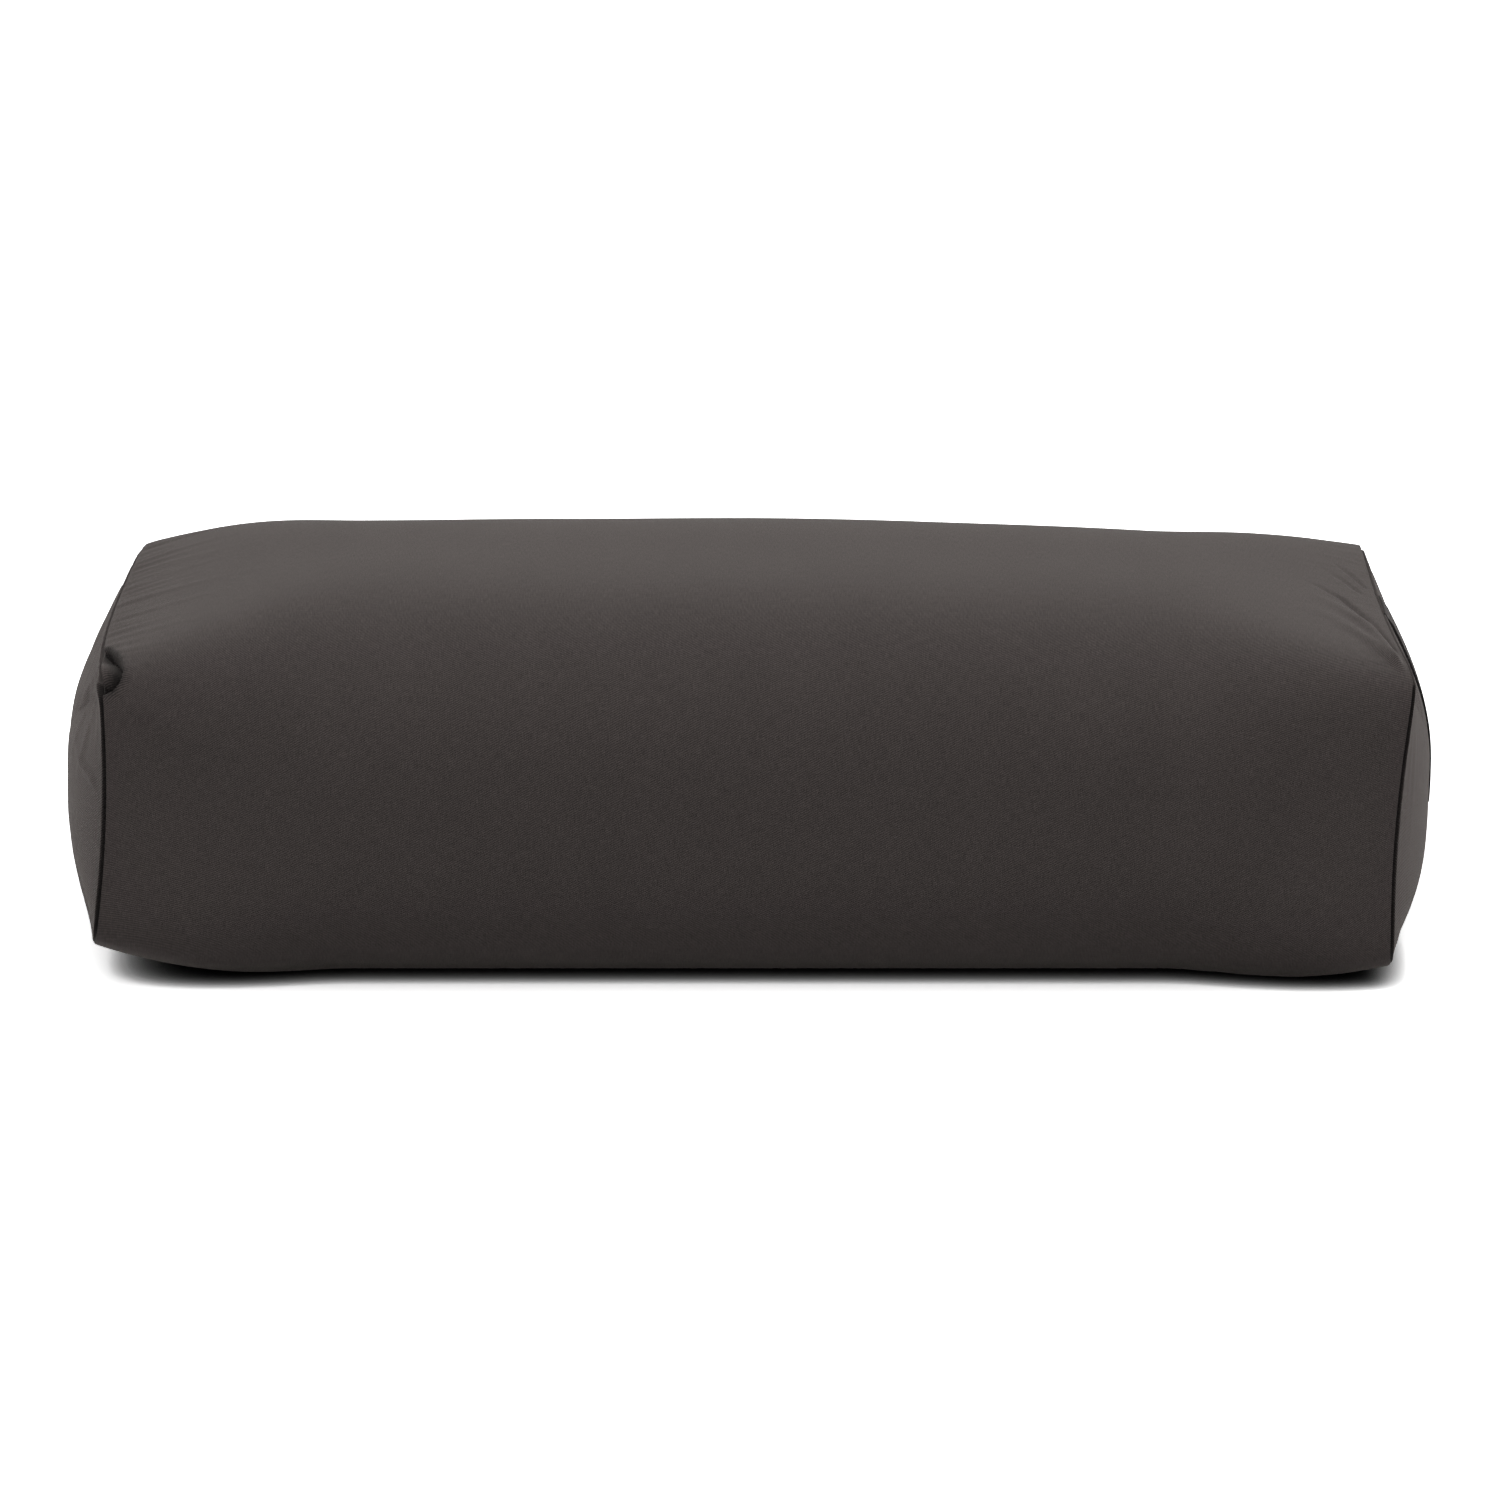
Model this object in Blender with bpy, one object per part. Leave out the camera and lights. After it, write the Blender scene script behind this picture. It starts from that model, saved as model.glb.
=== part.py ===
"""Rectangular yoga bolster: a zipped twill cover over a sewn liner, wadding and a foam core.

Metres, +Z up. +X runs along the bolster, the zip is on the back at +Y, and the carrying loop
hangs on the right end at +X. The origin is on the floor under the middle of the bolster.

Every stuffed layer is one smooth pillow surface at its own depth below the outside of the
cover. Its long panel is a tube whose section grows from the end seam to the full girth, and
its end panels are domes inside the same seam. A ring of points around a section follows the
edge of a unit square, so that corner meets corner from one section to the next.
"""
import bisect
import math

import bmesh
import bpy
from mathutils import Vector

# Stuffed outside of the cover
SEAM_HALF_LENGTH = 0.302
GIRTH_HALF_DEPTH = 0.156
GIRTH_OVER_SEAM = 0.010
CROWN_HEIGHT = 0.180
CROWN_OVER_SEAM = 0.029
CROWN_CAMBER = 0.007
CROWN_FALL = 0.004
SEAM_FOOT = 0.010
FLOOR_PRESS = 0.013
END_BULGE = 0.025
END_SAG = 0.004
RISE_LENGTH = 0.110
SIDE_BOW = 0.005
TOP_BOW = 0.003

# Shapes of those curves, without a size
SEAM_SQUARENESS_SHARE = 9.0
GIRTH_SQUARENESS_SHARE = 3.0
RISE_POWER_SHARE = 2.0
DOME_ROUND_SHARE = 2.2
FOAM_SHARE = 0.9

# Cloth, fillings and the play between pieces
GAP = 0.0003
LAYER_EASE = 0.0005
TWILL = 0.0014
COVER_ALLOWANCE = 0.008
LINER_CLOTH = 0.0006
LINER_ALLOWANCE = 0.005
WADDING_EASE = 0.001
FOAM_EDGE_RADIUS = 0.004

# Zip in the back seam
OPENING_TO_RISE = 0.016
OPENING_WIDTH = 0.0118
OPENING_MARGIN = 0.003
TAPE_TAIL = 0.005
TAPE_WIDTH = 0.012
TAPE_THICKNESS = 0.0006
TOOTH_PITCH = 0.0032
TOOTH_THICKNESS = 0.0020
TOOTH_NECK = 0.0008
TOOTH_HEAD = 0.0017
TOOTH_REACH = 0.0010
SHOULDER_OFFSET = 0.0002
CORD_INNER = 0.0015
CORD_WIDTH = 0.0014
STOP_WALL = 0.0005
TOP_STOP_LENGTH = 0.0018
BOTTOM_STOP_LENGTH = 0.0050

# Zip slider and its pull
SLIDER_LENGTH = 0.0104
SLIDER_FLANGE = 0.0008
SLIDER_SHOULDER = 0.0010
PLATE_THICKNESS = 0.0010
PLATE_CHAMFER = 0.0003
BRIDGE_SPAN = 0.0066
BRIDGE_WIDTH = 0.0022
BRIDGE_BAR = 0.0010
PULL_BAR = 0.0010
PULL_ARM = 0.0013
PULL_LENGTH = 0.0240
PULL_SIDE_PLAY = 0.0005
PULL_TIP_STEPS = 6

# Carrying loop of folded tape, sewn into the top of the right end seam
LOOP_WIDTH = 0.038
LOOP_PLY = 0.0007
LOOP_PLY_GAP = 0.0004
LOOP_DROP = 0.089
LOOP_STEPS = 14
LOOP_SPREAD_SHARE = 1.7

# Places around a section, as shares of the unit square's half side
TOP_SHARES = (-0.88, -0.62, -0.3, 0.0, 0.3, 0.62, 0.88)
SIDE_SHARES = (-0.8, -0.45, 0.45, 0.8)
# Places along a panel, as shares of the rise next to each end seam
RISE_SHARES = (0.0, 0.05, 0.12, 0.22, 0.34, 0.48, 0.64, 0.81, 1.0)
# Places across an end dome, as shares of the seam loop
COVER_DOME_SHARES = (0.35, 0.62, 0.82, 0.95)
LINER_DOME_SHARES = (0.45, 0.75, 0.93)
WADDING_DOME_SHARES = (0.5, 0.85)

# Worked out from the sizes above
seam_half_depth = GIRTH_HALF_DEPTH - GIRTH_OVER_SEAM
seam_head = CROWN_HEIGHT - CROWN_OVER_SEAM
seam_middle = (SEAM_FOOT + seam_head) / 2
seam_half_height = (seam_head - SEAM_FOOT) / 2
opening_half = SEAM_HALF_LENGTH - RISE_LENGTH - OPENING_TO_RISE
opening_half_width = OPENING_WIDTH / 2
cord_outer = CORD_INNER + CORD_WIDTH
tape_cover_half = cord_outer + TAPE_WIDTH + OPENING_MARGIN
channel_half = TOOTH_THICKNESS / 2 + GAP
zip_y = GIRTH_HALF_DEPTH - TWILL - LAYER_EASE - TAPE_THICKNESS / 2
zip_tail_x = opening_half + TAPE_TAIL
cord_x = opening_half - GAP
plate_face = channel_half + PLATE_THICKNESS
recess_y = zip_y - plate_face - GAP
recess_half = zip_tail_x + OPENING_MARGIN
stop_right = opening_half - OPENING_MARGIN
stop_left = stop_right - TOP_STOP_LENGTH
slider_x = stop_left - GAP - SLIDER_LENGTH / 2
bottom_stop_left = -opening_half + OPENING_MARGIN
bottom_stop_right = bottom_stop_left + BOTTOM_STOP_LENGTH


def material(name, color, roughness, metallic=0.0):
    """A plain surface in the colour of the real piece."""
    made = bpy.data.materials.new(name)
    made.use_nodes = True
    shader = made.node_tree.nodes["Principled BSDF"]
    shader.inputs["Base Color"].default_value = (*color, 1.0)
    shader.inputs["Roughness"].default_value = roughness
    shader.inputs["Metallic"].default_value = metallic
    return made


def mesh_object(name, work, surface):
    """Turns a bmesh into a named object with outward faces and one material."""
    bmesh.ops.recalc_face_normals(work, faces=work.faces)
    mesh = bpy.data.meshes.new(name)
    work.to_mesh(mesh)
    work.free()
    mesh.materials.append(surface)
    made = bpy.data.objects.new(name, mesh)
    bpy.context.scene.collection.objects.link(made)
    return made


def smooth(made, angle=math.radians(50)):
    """Shades a rounded piece smooth and keeps its true corners sharp."""
    made.data.shade_smooth()
    made.data.set_sharp_from_angle(angle=angle)
    return made


def prism(name, outline, place, low, high, surface):
    """Extrudes a flat outline from low to high; place turns (u, v, w) into a point."""
    work = bmesh.new()
    bottom = [work.verts.new(place(u, v, low)) for u, v in outline]
    top = [work.verts.new(place(u, v, high)) for u, v in outline]
    work.faces.new(bottom)
    work.faces.new(top)
    for i in range(len(outline)):
        j = (i + 1) % len(outline)
        work.faces.new((bottom[i], bottom[j], top[j], top[i]))
    return mesh_object(name, work, surface)


def skin(name, rings, surface, lining=None, opening=None):
    """Covers a row of rings with faces.

    A ring of one point is a pole. Without poles the last ring joins the first, which makes a
    tube with a wall, and opening may then name the cells that are left out of both skins.
    Every cell is two triangles, split between the same two corners in the outer skin and in
    the lining that starts at the ring of that number, so that thin cloth keeps its thickness.
    """
    work = bmesh.new()
    rows = [[work.verts.new(point) for point in ring] for ring in rings]
    count = max(len(ring) for ring in rings)
    capped = len(rings[0]) == 1
    spans = len(rows) - 1 if capped else len(rows)
    for i in range(spans):
        a, b = rows[i], rows[(i + 1) % len(rows)]
        for j in range(count):
            k = (j + 1) % count
            if opening and opening(i, j):
                continue
            corners = [a[j % len(a)], a[k % len(a)], b[k % len(b)], b[j % len(b)]]
            if lining is not None and i >= lining:
                corners.append(corners.pop(0))
            for triangle in (corners[:3], [corners[0], *corners[2:]]):
                if len(set(triangle)) == len(triangle):
                    work.faces.new(triangle)
    if opening:
        hem(work)
    return smooth(mesh_object(name, work, surface))


def hem(work):
    """Joins the outer and the inner edge of the opening, which face each other."""
    edges = [edge for edge in work.edges if edge.is_boundary]
    bmesh.ops.bridge_loops(work, edges=edges)


def walk(half_height):
    """The edge of the unit square, from the back's lower corner and up.

    Two lines on each side of the middle of the back follow the opening and the zip tape.
    """
    slot = opening_half_width / half_height
    tape = tape_cover_half / half_height
    below = [share for share in SIDE_SHARES if share < 0]
    above = [share for share in SIDE_SHARES if share > 0]
    back = [-1.0, *below, -tape, -slot, slot, tape, *above]
    points = [(1.0, z) for z in back]
    points += [(y, 1.0) for y in (1.0, *reversed(TOP_SHARES))]
    points += [(-1.0, z) for z in (1.0, *reversed(above), 0.0, *reversed(below))]
    points += [(y, -1.0) for y in (-1.0, *TOP_SHARES)]
    return points


def mix(low, high, share):
    return low + (high - low) * share


def rounded(y, z, power):
    """A point of the unit square's edge, drawn onto a superellipse."""
    reach = (abs(y) ** power + abs(z) ** power) ** (1 / power)
    return y / reach, z / reach


def risen(distance):
    """Share of its rise that a section has made at a distance from its end seam."""
    run = min(1.0, max(0.0, distance) / RISE_LENGTH)
    return 1 - (1 - run) ** RISE_POWER_SHARE


def squareness(x):
    """Every layer's corners are as round at x as the cover's, so that they nest."""
    grown = risen(SEAM_HALF_LENGTH - abs(x))
    return mix(SEAM_SQUARENESS_SHARE, GIRTH_SQUARENESS_SHARE, grown)


class Pillow:
    """One stuffed surface, a depth below the outside of the cover.

    seam_depth is its depth at the end seams, setback moves its end seams inwards, and bow
    draws the middles of the seams in. Behind the zip it stays within back_limit.
    """

    def __init__(self, depth=0.0, seam_depth=0.0, setback=0.0, bowed=True, back_limit=None):
        self.depth = depth
        self.seam_x = SEAM_HALF_LENGTH - setback
        self.seam_y = seam_half_depth - seam_depth
        self.seam_z = seam_half_height - seam_depth
        self.bulge = SEAM_HALF_LENGTH + END_BULGE - depth - self.seam_x
        self.bowed = bowed
        self.back_limit = back_limit

    def bow(self, y, z):
        if not self.bowed:
            return 0.0
        return TOP_BOW * (1 - y * y) if abs(z) == 1.0 else SIDE_BOW * (1 - z * z)

    def half_height(self, x, up):
        """Half height of the section at x, once the rise from the end seam is over."""
        if not up:
            return seam_middle + FLOOR_PRESS - self.depth
        along = x / SEAM_HALF_LENGTH
        fall = CROWN_CAMBER * along * along + CROWN_FALL * along
        return CROWN_HEIGHT - seam_middle - fall - self.depth

    def ring(self, x):
        """Points around the long panel at x, which bends in to the seam near the ends."""
        grown = risen(self.seam_x - abs(x))
        unbowed = min(1.0, (self.seam_x - abs(x)) / RISE_LENGTH)
        half_y = mix(self.seam_y, GIRTH_HALF_DEPTH - self.depth, grown)
        level = mix(self.seam_z, self.half_height(x, up=False), grown)
        points = []
        for y, z in walk(level):
            half_z = mix(self.seam_z, self.half_height(x, up=z > 0), grown)
            if abs(z) < min(abs(share) for share in SIDE_SHARES):
                half_z = level
            py, pz = rounded(y, z, squareness(x))
            px = x - math.copysign(self.bow(y, z) * (1 - unbowed) ** 2, x)
            point = Vector((px, half_y * py, max(self.depth, seam_middle + half_z * pz)))
            behind_zip = y == 1.0 and abs(z) < min(abs(share) for share in SIDE_SHARES)
            if behind_zip and self.back_limit is not None and abs(x) <= recess_half:
                point.y = min(point.y, self.back_limit)
            points.append(point)
        return points

    def seam_ring(self, side, depth=0.0, inward=0.0):
        """The end seam's loop, moved in towards its middle and along the bolster."""
        points = []
        for y, z in walk(self.seam_z):
            py, pz = rounded(y, z, squareness(self.seam_x))
            x = side * (self.seam_x - self.bow(y, z) - inward)
            points.append(
                Vector((x, (self.seam_y - depth) * py, seam_middle + (self.seam_z - depth) * pz))
            )
        return points

    def dome(self, share):
        """How far the end dome stands out at a share of the seam loop."""
        return self.bulge * (1 - share**DOME_ROUND_SHARE)

    def dome_level(self, share, z):
        """Height on the dome, whose fullest place has settled below its middle."""
        return seam_middle + self.seam_z * share * z - END_SAG * (1 - share * share)

    def dome_ring(self, side, share, inward=0.0):
        points = []
        for y, z in walk(self.seam_z):
            py, pz = rounded(y, z, squareness(self.seam_x))
            x = self.seam_x - self.bow(y, z) * share**DOME_ROUND_SHARE + self.dome(share)
            points.append(
                Vector(
                    (
                        side * (x - inward),
                        self.seam_y * share * py,
                        self.dome_level(share, pz),
                    )
                )
            )
        return points

    def pole(self, side, inward=0.0):
        tip = side * (self.seam_x + self.bulge - inward)
        return [Vector((tip, 0.0, self.dome_level(0.0, 0.0)))]


def along(pillow, extra):
    """Places along the long panel, which every layer shares so that their faces nest."""
    places = {SEAM_HALF_LENGTH - share * RISE_LENGTH for share in RISE_SHARES}
    places = {place for place in places if place < pillow.seam_x - LAYER_EASE}
    places = sorted({pillow.seam_x, *places, *extra})
    return [-place for place in reversed(places)] + [0.0] + places


def wrap_panel(name, outside, inside, extra, surface, slotted):
    """A long panel's tube of cloth, with the zip's opening in its back where it is slotted."""
    places = along(outside, extra)
    rings = [outside.ring(x) for x in places] + [inside.ring(x) for x in reversed(places)]
    lip = [z > 0 for _, z in walk(seam_half_height)].index(True) - 1
    last = len(places) - 1
    first_open = bisect.bisect_left(places, -opening_half)
    last_open = bisect.bisect_left(places, opening_half)

    def in_opening(i, j):
        span = i if i < last else 2 * last - i
        return j == lip and i != last and first_open <= span < last_open

    return skin(name, rings, surface, len(places), in_opening if slotted else None)


def end_panel(name, side, pillow, cloth, play, allowance, shares, surface):
    """A domed end panel whose edge is turned in under the long panel as seam allowance."""
    tuck = cloth + play
    inner_shares = [share * (1 - (tuck + cloth) / pillow.seam_z) for share in shares]
    rings = [pillow.pole(side)]
    rings += [pillow.dome_ring(side, share, -play) for share in shares]
    rings.append(pillow.seam_ring(side, 0.0, -play))
    rings.append(pillow.seam_ring(side, tuck, -play))
    rings.append(pillow.seam_ring(side, tuck, allowance))
    lining = len(rings)
    rings.append(pillow.seam_ring(side, tuck + cloth, allowance))
    rings += [pillow.dome_ring(side, share, cloth - play) for share in reversed(inner_shares)]
    rings.append(pillow.pole(side, cloth))
    return skin(name, rings, surface, lining)


def box_ring(x, half_y, half_z, square):
    return [Vector((x, half_y * y, seam_middle + half_z * z)) for y, z in square]


def at_zip(x, y, z):
    """A point given from the middle of the chain: along, out of the back and up."""
    return Vector((x, zip_y + y, seam_middle + z))


def zip_half(name, side, surface):
    """A zip tape with the cord in its edge and the row of moulded teeth on the cord.

    side is 1 for the upper half and -1 for the lower one, whose teeth sit half a pitch on.
    """
    first = bottom_stop_right + GAP + TOOTH_PITCH * (1.0 if side > 0 else 0.5)
    last = slider_x - TOOTH_PITCH / 2
    count = math.floor((last - first) / TOOTH_PITCH) + 1
    neck, head = TOOTH_NECK / 2, TOOTH_HEAD / 2
    outline = [(-cord_x, CORD_INNER)]
    for i in range(count):
        x = first + i * TOOTH_PITCH
        outline += [
            (x - neck, CORD_INNER),
            (x - neck, SHOULDER_OFFSET),
            (x - head, -TOOTH_REACH),
            (x + head, -TOOTH_REACH),
            (x + neck, SHOULDER_OFFSET),
            (x + neck, CORD_INNER),
        ]
    outline.append((cord_x, CORD_INNER))

    work = bmesh.new()
    half, tape = TOOTH_THICKNESS / 2, TAPE_THICKNESS / 2
    edge = cord_outer + TAPE_WIDTH

    def corner(x, y, z):
        return work.verts.new(at_zip(x, y, side * z))

    front = [corner(x, half, z) for x, z in outline]
    rear = [corner(x, -half, z) for x, z in outline]
    cords, tails, rims = [], [], []
    for end in (-1, 1):
        cords.append([corner(end * cord_x, y, cord_outer) for y in (half, tape, -tape, -half)])
        tails.append([corner(end * zip_tail_x, y, cord_outer) for y in (tape, -tape)])
        rims.append([corner(end * zip_tail_x, y, edge) for y in (tape, -tape)])
    (c, d), (t, u), (r, s) = cords, tails, rims
    work.faces.new(front + [d[0], c[0]])
    work.faces.new(rear + [d[3], c[3]])
    for i in range(len(outline) - 1):
        work.faces.new((front[i], front[i + 1], rear[i + 1], rear[i]))
    for tip, cord, tail, rim in ((0, c, t, r), (-1, d, u, s)):
        work.faces.new((front[tip], *cord, rear[tip]))
        work.faces.new((cord[1], tail[0], tail[1], cord[2]))
        work.faces.new((tail[0], rim[0], rim[1], tail[1]))
    work.faces.new((c[0], c[1], d[1], d[0]))
    work.faces.new((c[2], c[3], d[3], d[2]))
    work.faces.new((t[0], c[1], d[1], u[0], s[0], r[0]))
    work.faces.new((t[1], c[2], d[2], u[1], s[1], r[1]))
    work.faces.new((r[0], s[0], s[1], r[1]))
    return mesh_object(name, work, surface)


def top_stop(name, side, surface):
    """A clip closed round one cord in front of the slider."""
    inner = CORD_INNER - GAP
    back = inner - STOP_WALL
    arm = channel_half + STOP_WALL
    outline = [
        (arm, back),
        (arm, cord_outer),
        (channel_half, cord_outer),
        (channel_half, inner),
        (-channel_half, inner),
        (-channel_half, cord_outer),
        (-arm, cord_outer),
        (-arm, back),
    ]
    place = lambda y, z, x: at_zip(x, y, side * z)
    return prism(name, outline, place, stop_left, stop_right, surface)


def bottom_stop(name, surface):
    """A moulded box over both cords, which run in a groove on each side of its web."""
    web = CORD_INNER - GAP
    arm = channel_half + STOP_WALL
    block = [(arm, -cord_outer), (arm, cord_outer), (-arm, cord_outer), (-arm, -cord_outer)]
    place = lambda y, z, x: at_zip(x, y, z)
    box = prism(name, block, place, bottom_stop_left, bottom_stop_right, surface)
    over = OPENING_MARGIN
    for side, word in ((1, "upper"), (-1, "lower")):
        near, far = side * web, side * (cord_outer + over)
        reach = channel_half
        groove = [(reach, near), (reach, far), (-reach, far), (-reach, near)]
        left, right = bottom_stop_left - over, bottom_stop_right + over
        cut = prism("cord_groove_" + word, groove, place, left, right, surface)
        combine(box, cut, "DIFFERENCE")
    return box


def cutter(made):
    made.hide_render = True
    made.display_type = "WIRE"
    return made


def combine(made, other, operation):
    """Cuts or joins a piece with a helper solid, which stays out of the model."""
    step = made.modifiers.new(other.name, "BOOLEAN")
    step.operation = operation
    step.solver = "EXACT"
    step.object = cutter(other)


def slider(name, surface):
    """Two plates held apart by a wedge, with flanges that keep the cords in.

    The chain leaves the narrow end, and a bridge on the outer plate holds the pull.
    """
    half = SLIDER_LENGTH / 2
    channel = cord_outer + GAP
    narrow = channel + SLIDER_FLANGE
    wide = narrow + SLIDER_SHOULDER
    over = SLIDER_LENGTH
    turned = SLIDER_LENGTH / 6
    chamfer = SLIDER_FLANGE
    right_side = [
        (-half, narrow - chamfer),
        (chamfer - half, narrow),
        (0.0, narrow),
        (half - 2 * turned, wide),
        (half - turned / 2, wide - chamfer / 2),
        (half, wide - 2 * chamfer),
    ]
    outline = right_side + [(x, -z) for x, z in reversed(right_side)]
    place = lambda x, z, y: at_zip(slider_x + x, y, z)
    body = prism(name, outline, place, -plate_face, plate_face, surface)
    edge = body.modifiers.new("plate edges", "BEVEL")
    edge.width = PLATE_CHAMFER
    edge.segments = 1
    edge.limit_method = "ANGLE"
    edge.angle_limit = math.radians(60)

    wedge = CORD_INNER - GAP
    fork_side = [
        (-half - over, channel),
        (0.0, channel),
        (half - 2 * turned, wide - SLIDER_FLANGE),
        (half + over, wide - SLIDER_FLANGE),
        (half + over, wedge),
        (half - 2 * turned, wedge),
    ]
    fork = fork_side + [(turned / 2, 0.0)] + [(x, -z) for x, z in reversed(fork_side)]
    channel_cut = prism("slider_channel", fork, place, -channel_half, channel_half, surface)
    combine(body, channel_cut, "DIFFERENCE")
    slit = TAPE_THICKNESS / 2 + GAP
    for side, word in ((1, "upper"), (-1, "lower")):
        low, high = channel - GAP, wide + over
        strip = [(-half - over, low), (half + over, low), (half + over, high), (-half - over, high)]
        strip = [(x, side * z) for x, z in strip]
        tape_cut = prism("slider_slit_" + word, strip, place, -slit, slit, surface)
        combine(body, tape_cut, "DIFFERENCE")

    foot, leg = BRIDGE_SPAN / 2, BRIDGE_SPAN / 2 - BRIDGE_BAR
    clear = bridge_clearance()
    sunk = plate_face - PLATE_THICKNESS / 2
    crook = BRIDGE_BAR / 2
    arch = [
        (-foot, sunk),
        (-foot, clear + BRIDGE_BAR - 2 * crook),
        (2 * crook - foot, clear + BRIDGE_BAR),
        (foot - 2 * crook, clear + BRIDGE_BAR),
        (foot, clear + BRIDGE_BAR - 2 * crook),
        (foot, sunk),
        (leg, sunk),
        (leg, clear - crook),
        (leg - crook, clear),
        (crook - leg, clear),
        (-leg, clear - crook),
        (-leg, sunk),
    ]
    stand = lambda x, y, z: at_zip(slider_x + x, y, z)
    bridge = prism("slider_bridge", arch, stand, -BRIDGE_WIDTH / 2, BRIDGE_WIDTH / 2, surface)
    combine(body, bridge, "UNION")
    return body


def pull_axis_height():
    """Height of the pull's bar above the tape, clear of the plate at every turn."""
    return plate_face + GAP + PULL_BAR * math.sqrt(2) / 2


def bridge_clearance():
    return pull_axis_height() + PULL_BAR * math.sqrt(2) / 2 + GAP


def pull_tab(name, surface):
    """A flat tab whose eye goes round the bridge, drawn with its bar on the hinge axis."""
    eye_half = BRIDGE_WIDTH / 2 + PULL_SIDE_PLAY
    side = eye_half + PULL_ARM
    bar = PULL_BAR / 2
    eye_end = BRIDGE_SPAN / 2 + 2 * PULL_SIDE_PLAY
    outline = [(bar, -side + bar), (bar, side - bar), (bar / 2, side)]
    tip = -PULL_LENGTH + side
    for i in range(PULL_TIP_STEPS + 1):
        turn = math.pi * i / PULL_TIP_STEPS
        outline.append((tip - side * math.sin(turn), side * math.cos(turn)))
    outline.append((bar / 2, -side))
    eye = [(-bar, -eye_half), (-bar, eye_half), (-eye_end, eye_half), (-eye_end, -eye_half)]
    flat = lambda x, z, y: Vector((x, y, z))
    tab = prism(name, outline, flat, -bar, bar, surface)
    hole = prism("pull_eye", eye, flat, -PULL_BAR, PULL_BAR, surface)
    combine(tab, hole, "DIFFERENCE")
    place = at_zip(slider_x, pull_axis_height(), 0.0)
    tab.location = place
    hole.location = place
    return tab


def loop_line(pillow):
    """The middle of the right end panel from the top seam down, with its outward normals."""
    line = []
    seat = GAP + LAYER_EASE
    step = LOOP_PLY / 4
    for i in range(LOOP_STEPS + 1):
        drop = LOOP_DROP * (i / LOOP_STEPS) ** LOOP_SPREAD_SHARE

        def surface_at(down):
            share = max(-1.0, min(1.0, 1 - down / pillow.seam_z))
            out = abs(share)
            x = pillow.seam_x - TOP_BOW * out**DOME_ROUND_SHARE + pillow.dome(out)
            rise = math.copysign(1.0, share)
            return Vector((x, 0.0, pillow.dome_level(out, rise)))

        run = surface_at(drop + step) - surface_at(max(0.0, drop - step))
        normal = Vector((-run.z, 0.0, run.x)).normalized()
        line.append((surface_at(drop) + normal * seat, normal))
    return line


def loop_thickness():
    return LOOP_PLY * 2 + LOOP_PLY_GAP


def loop_root(line):
    point, normal = line[0]
    return point + normal * loop_thickness() / 2


def carry_loop(name, line, surface):
    """Two plies of tape that hang against the end panel and are one piece at the fold.

    They turn up about the middle of their thickness at the seam.
    """
    root = loop_root(line)
    outer = loop_thickness()
    tail, tail_normal = line[-1]
    before, _ = line[-2]
    down = (tail - before).normalized()
    outline = [point + normal * outer for point, normal in line]
    outline.append(tail + tail_normal * (outer - LOOP_PLY / 2) + down * LOOP_PLY)
    outline.append(tail + tail_normal * LOOP_PLY / 2 + down * LOOP_PLY)
    outline += [point for point, _ in reversed(line)]
    outline += [point + normal * LOOP_PLY for point, normal in line]
    outline += [point + normal * (LOOP_PLY + LOOP_PLY_GAP) for point, normal in reversed(line)]
    flat = lambda x, z, y: Vector((x, y, z))
    pairs = [(point.x - root.x, point.z - root.z) for point in outline]
    loop = prism(name, pairs, flat, -LOOP_WIDTH / 2, LOOP_WIDTH / 2, surface)
    loop.location = root
    return loop


for old in list(bpy.data.objects):
    bpy.data.objects.remove(old, do_unlink=True)

twill = material("charcoal twill", (0.068, 0.059, 0.054), 0.85)
webbing = material("charcoal cotton tape", (0.050, 0.044, 0.041), 0.90)
tape_cloth = material("black zip tape and teeth", (0.020, 0.020, 0.021), 0.60)
zip_metal = material("black painted zinc", (0.030, 0.030, 0.032), 0.40, 0.6)
calico = material("natural calico", (0.62, 0.57, 0.47), 0.90)
fleece = material("white wadding", (0.82, 0.81, 0.78), 0.95)
foam = material("grey foam", (0.35, 0.36, 0.37), 0.95)

cover = Pillow()
cover_lining = Pillow(depth=TWILL, seam_depth=TWILL)
liner_depth = TWILL + LAYER_EASE
liner_seam_depth = 2 * TWILL + GAP + LAYER_EASE
liner_setback = COVER_ALLOWANCE + LAYER_EASE
liner = Pillow(liner_depth, liner_seam_depth, liner_setback, back_limit=recess_y)
liner_inside = Pillow(
    liner_depth + LINER_CLOTH,
    liner_seam_depth + LINER_CLOTH,
    liner_setback,
    back_limit=recess_y - LINER_CLOTH,
)
wadding = Pillow(
    liner_depth + LINER_CLOTH + WADDING_EASE,
    liner_seam_depth + 2 * LINER_CLOTH + 2 * WADDING_EASE,
    liner_setback + LINER_ALLOWANCE + SIDE_BOW + LAYER_EASE,
    bowed=False,
    back_limit=recess_y - LINER_CLOTH - WADDING_EASE,
)
foam_half_depth = wadding.seam_y * FOAM_SHARE
foam_half_height = wadding.seam_z * FOAM_SHARE

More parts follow.
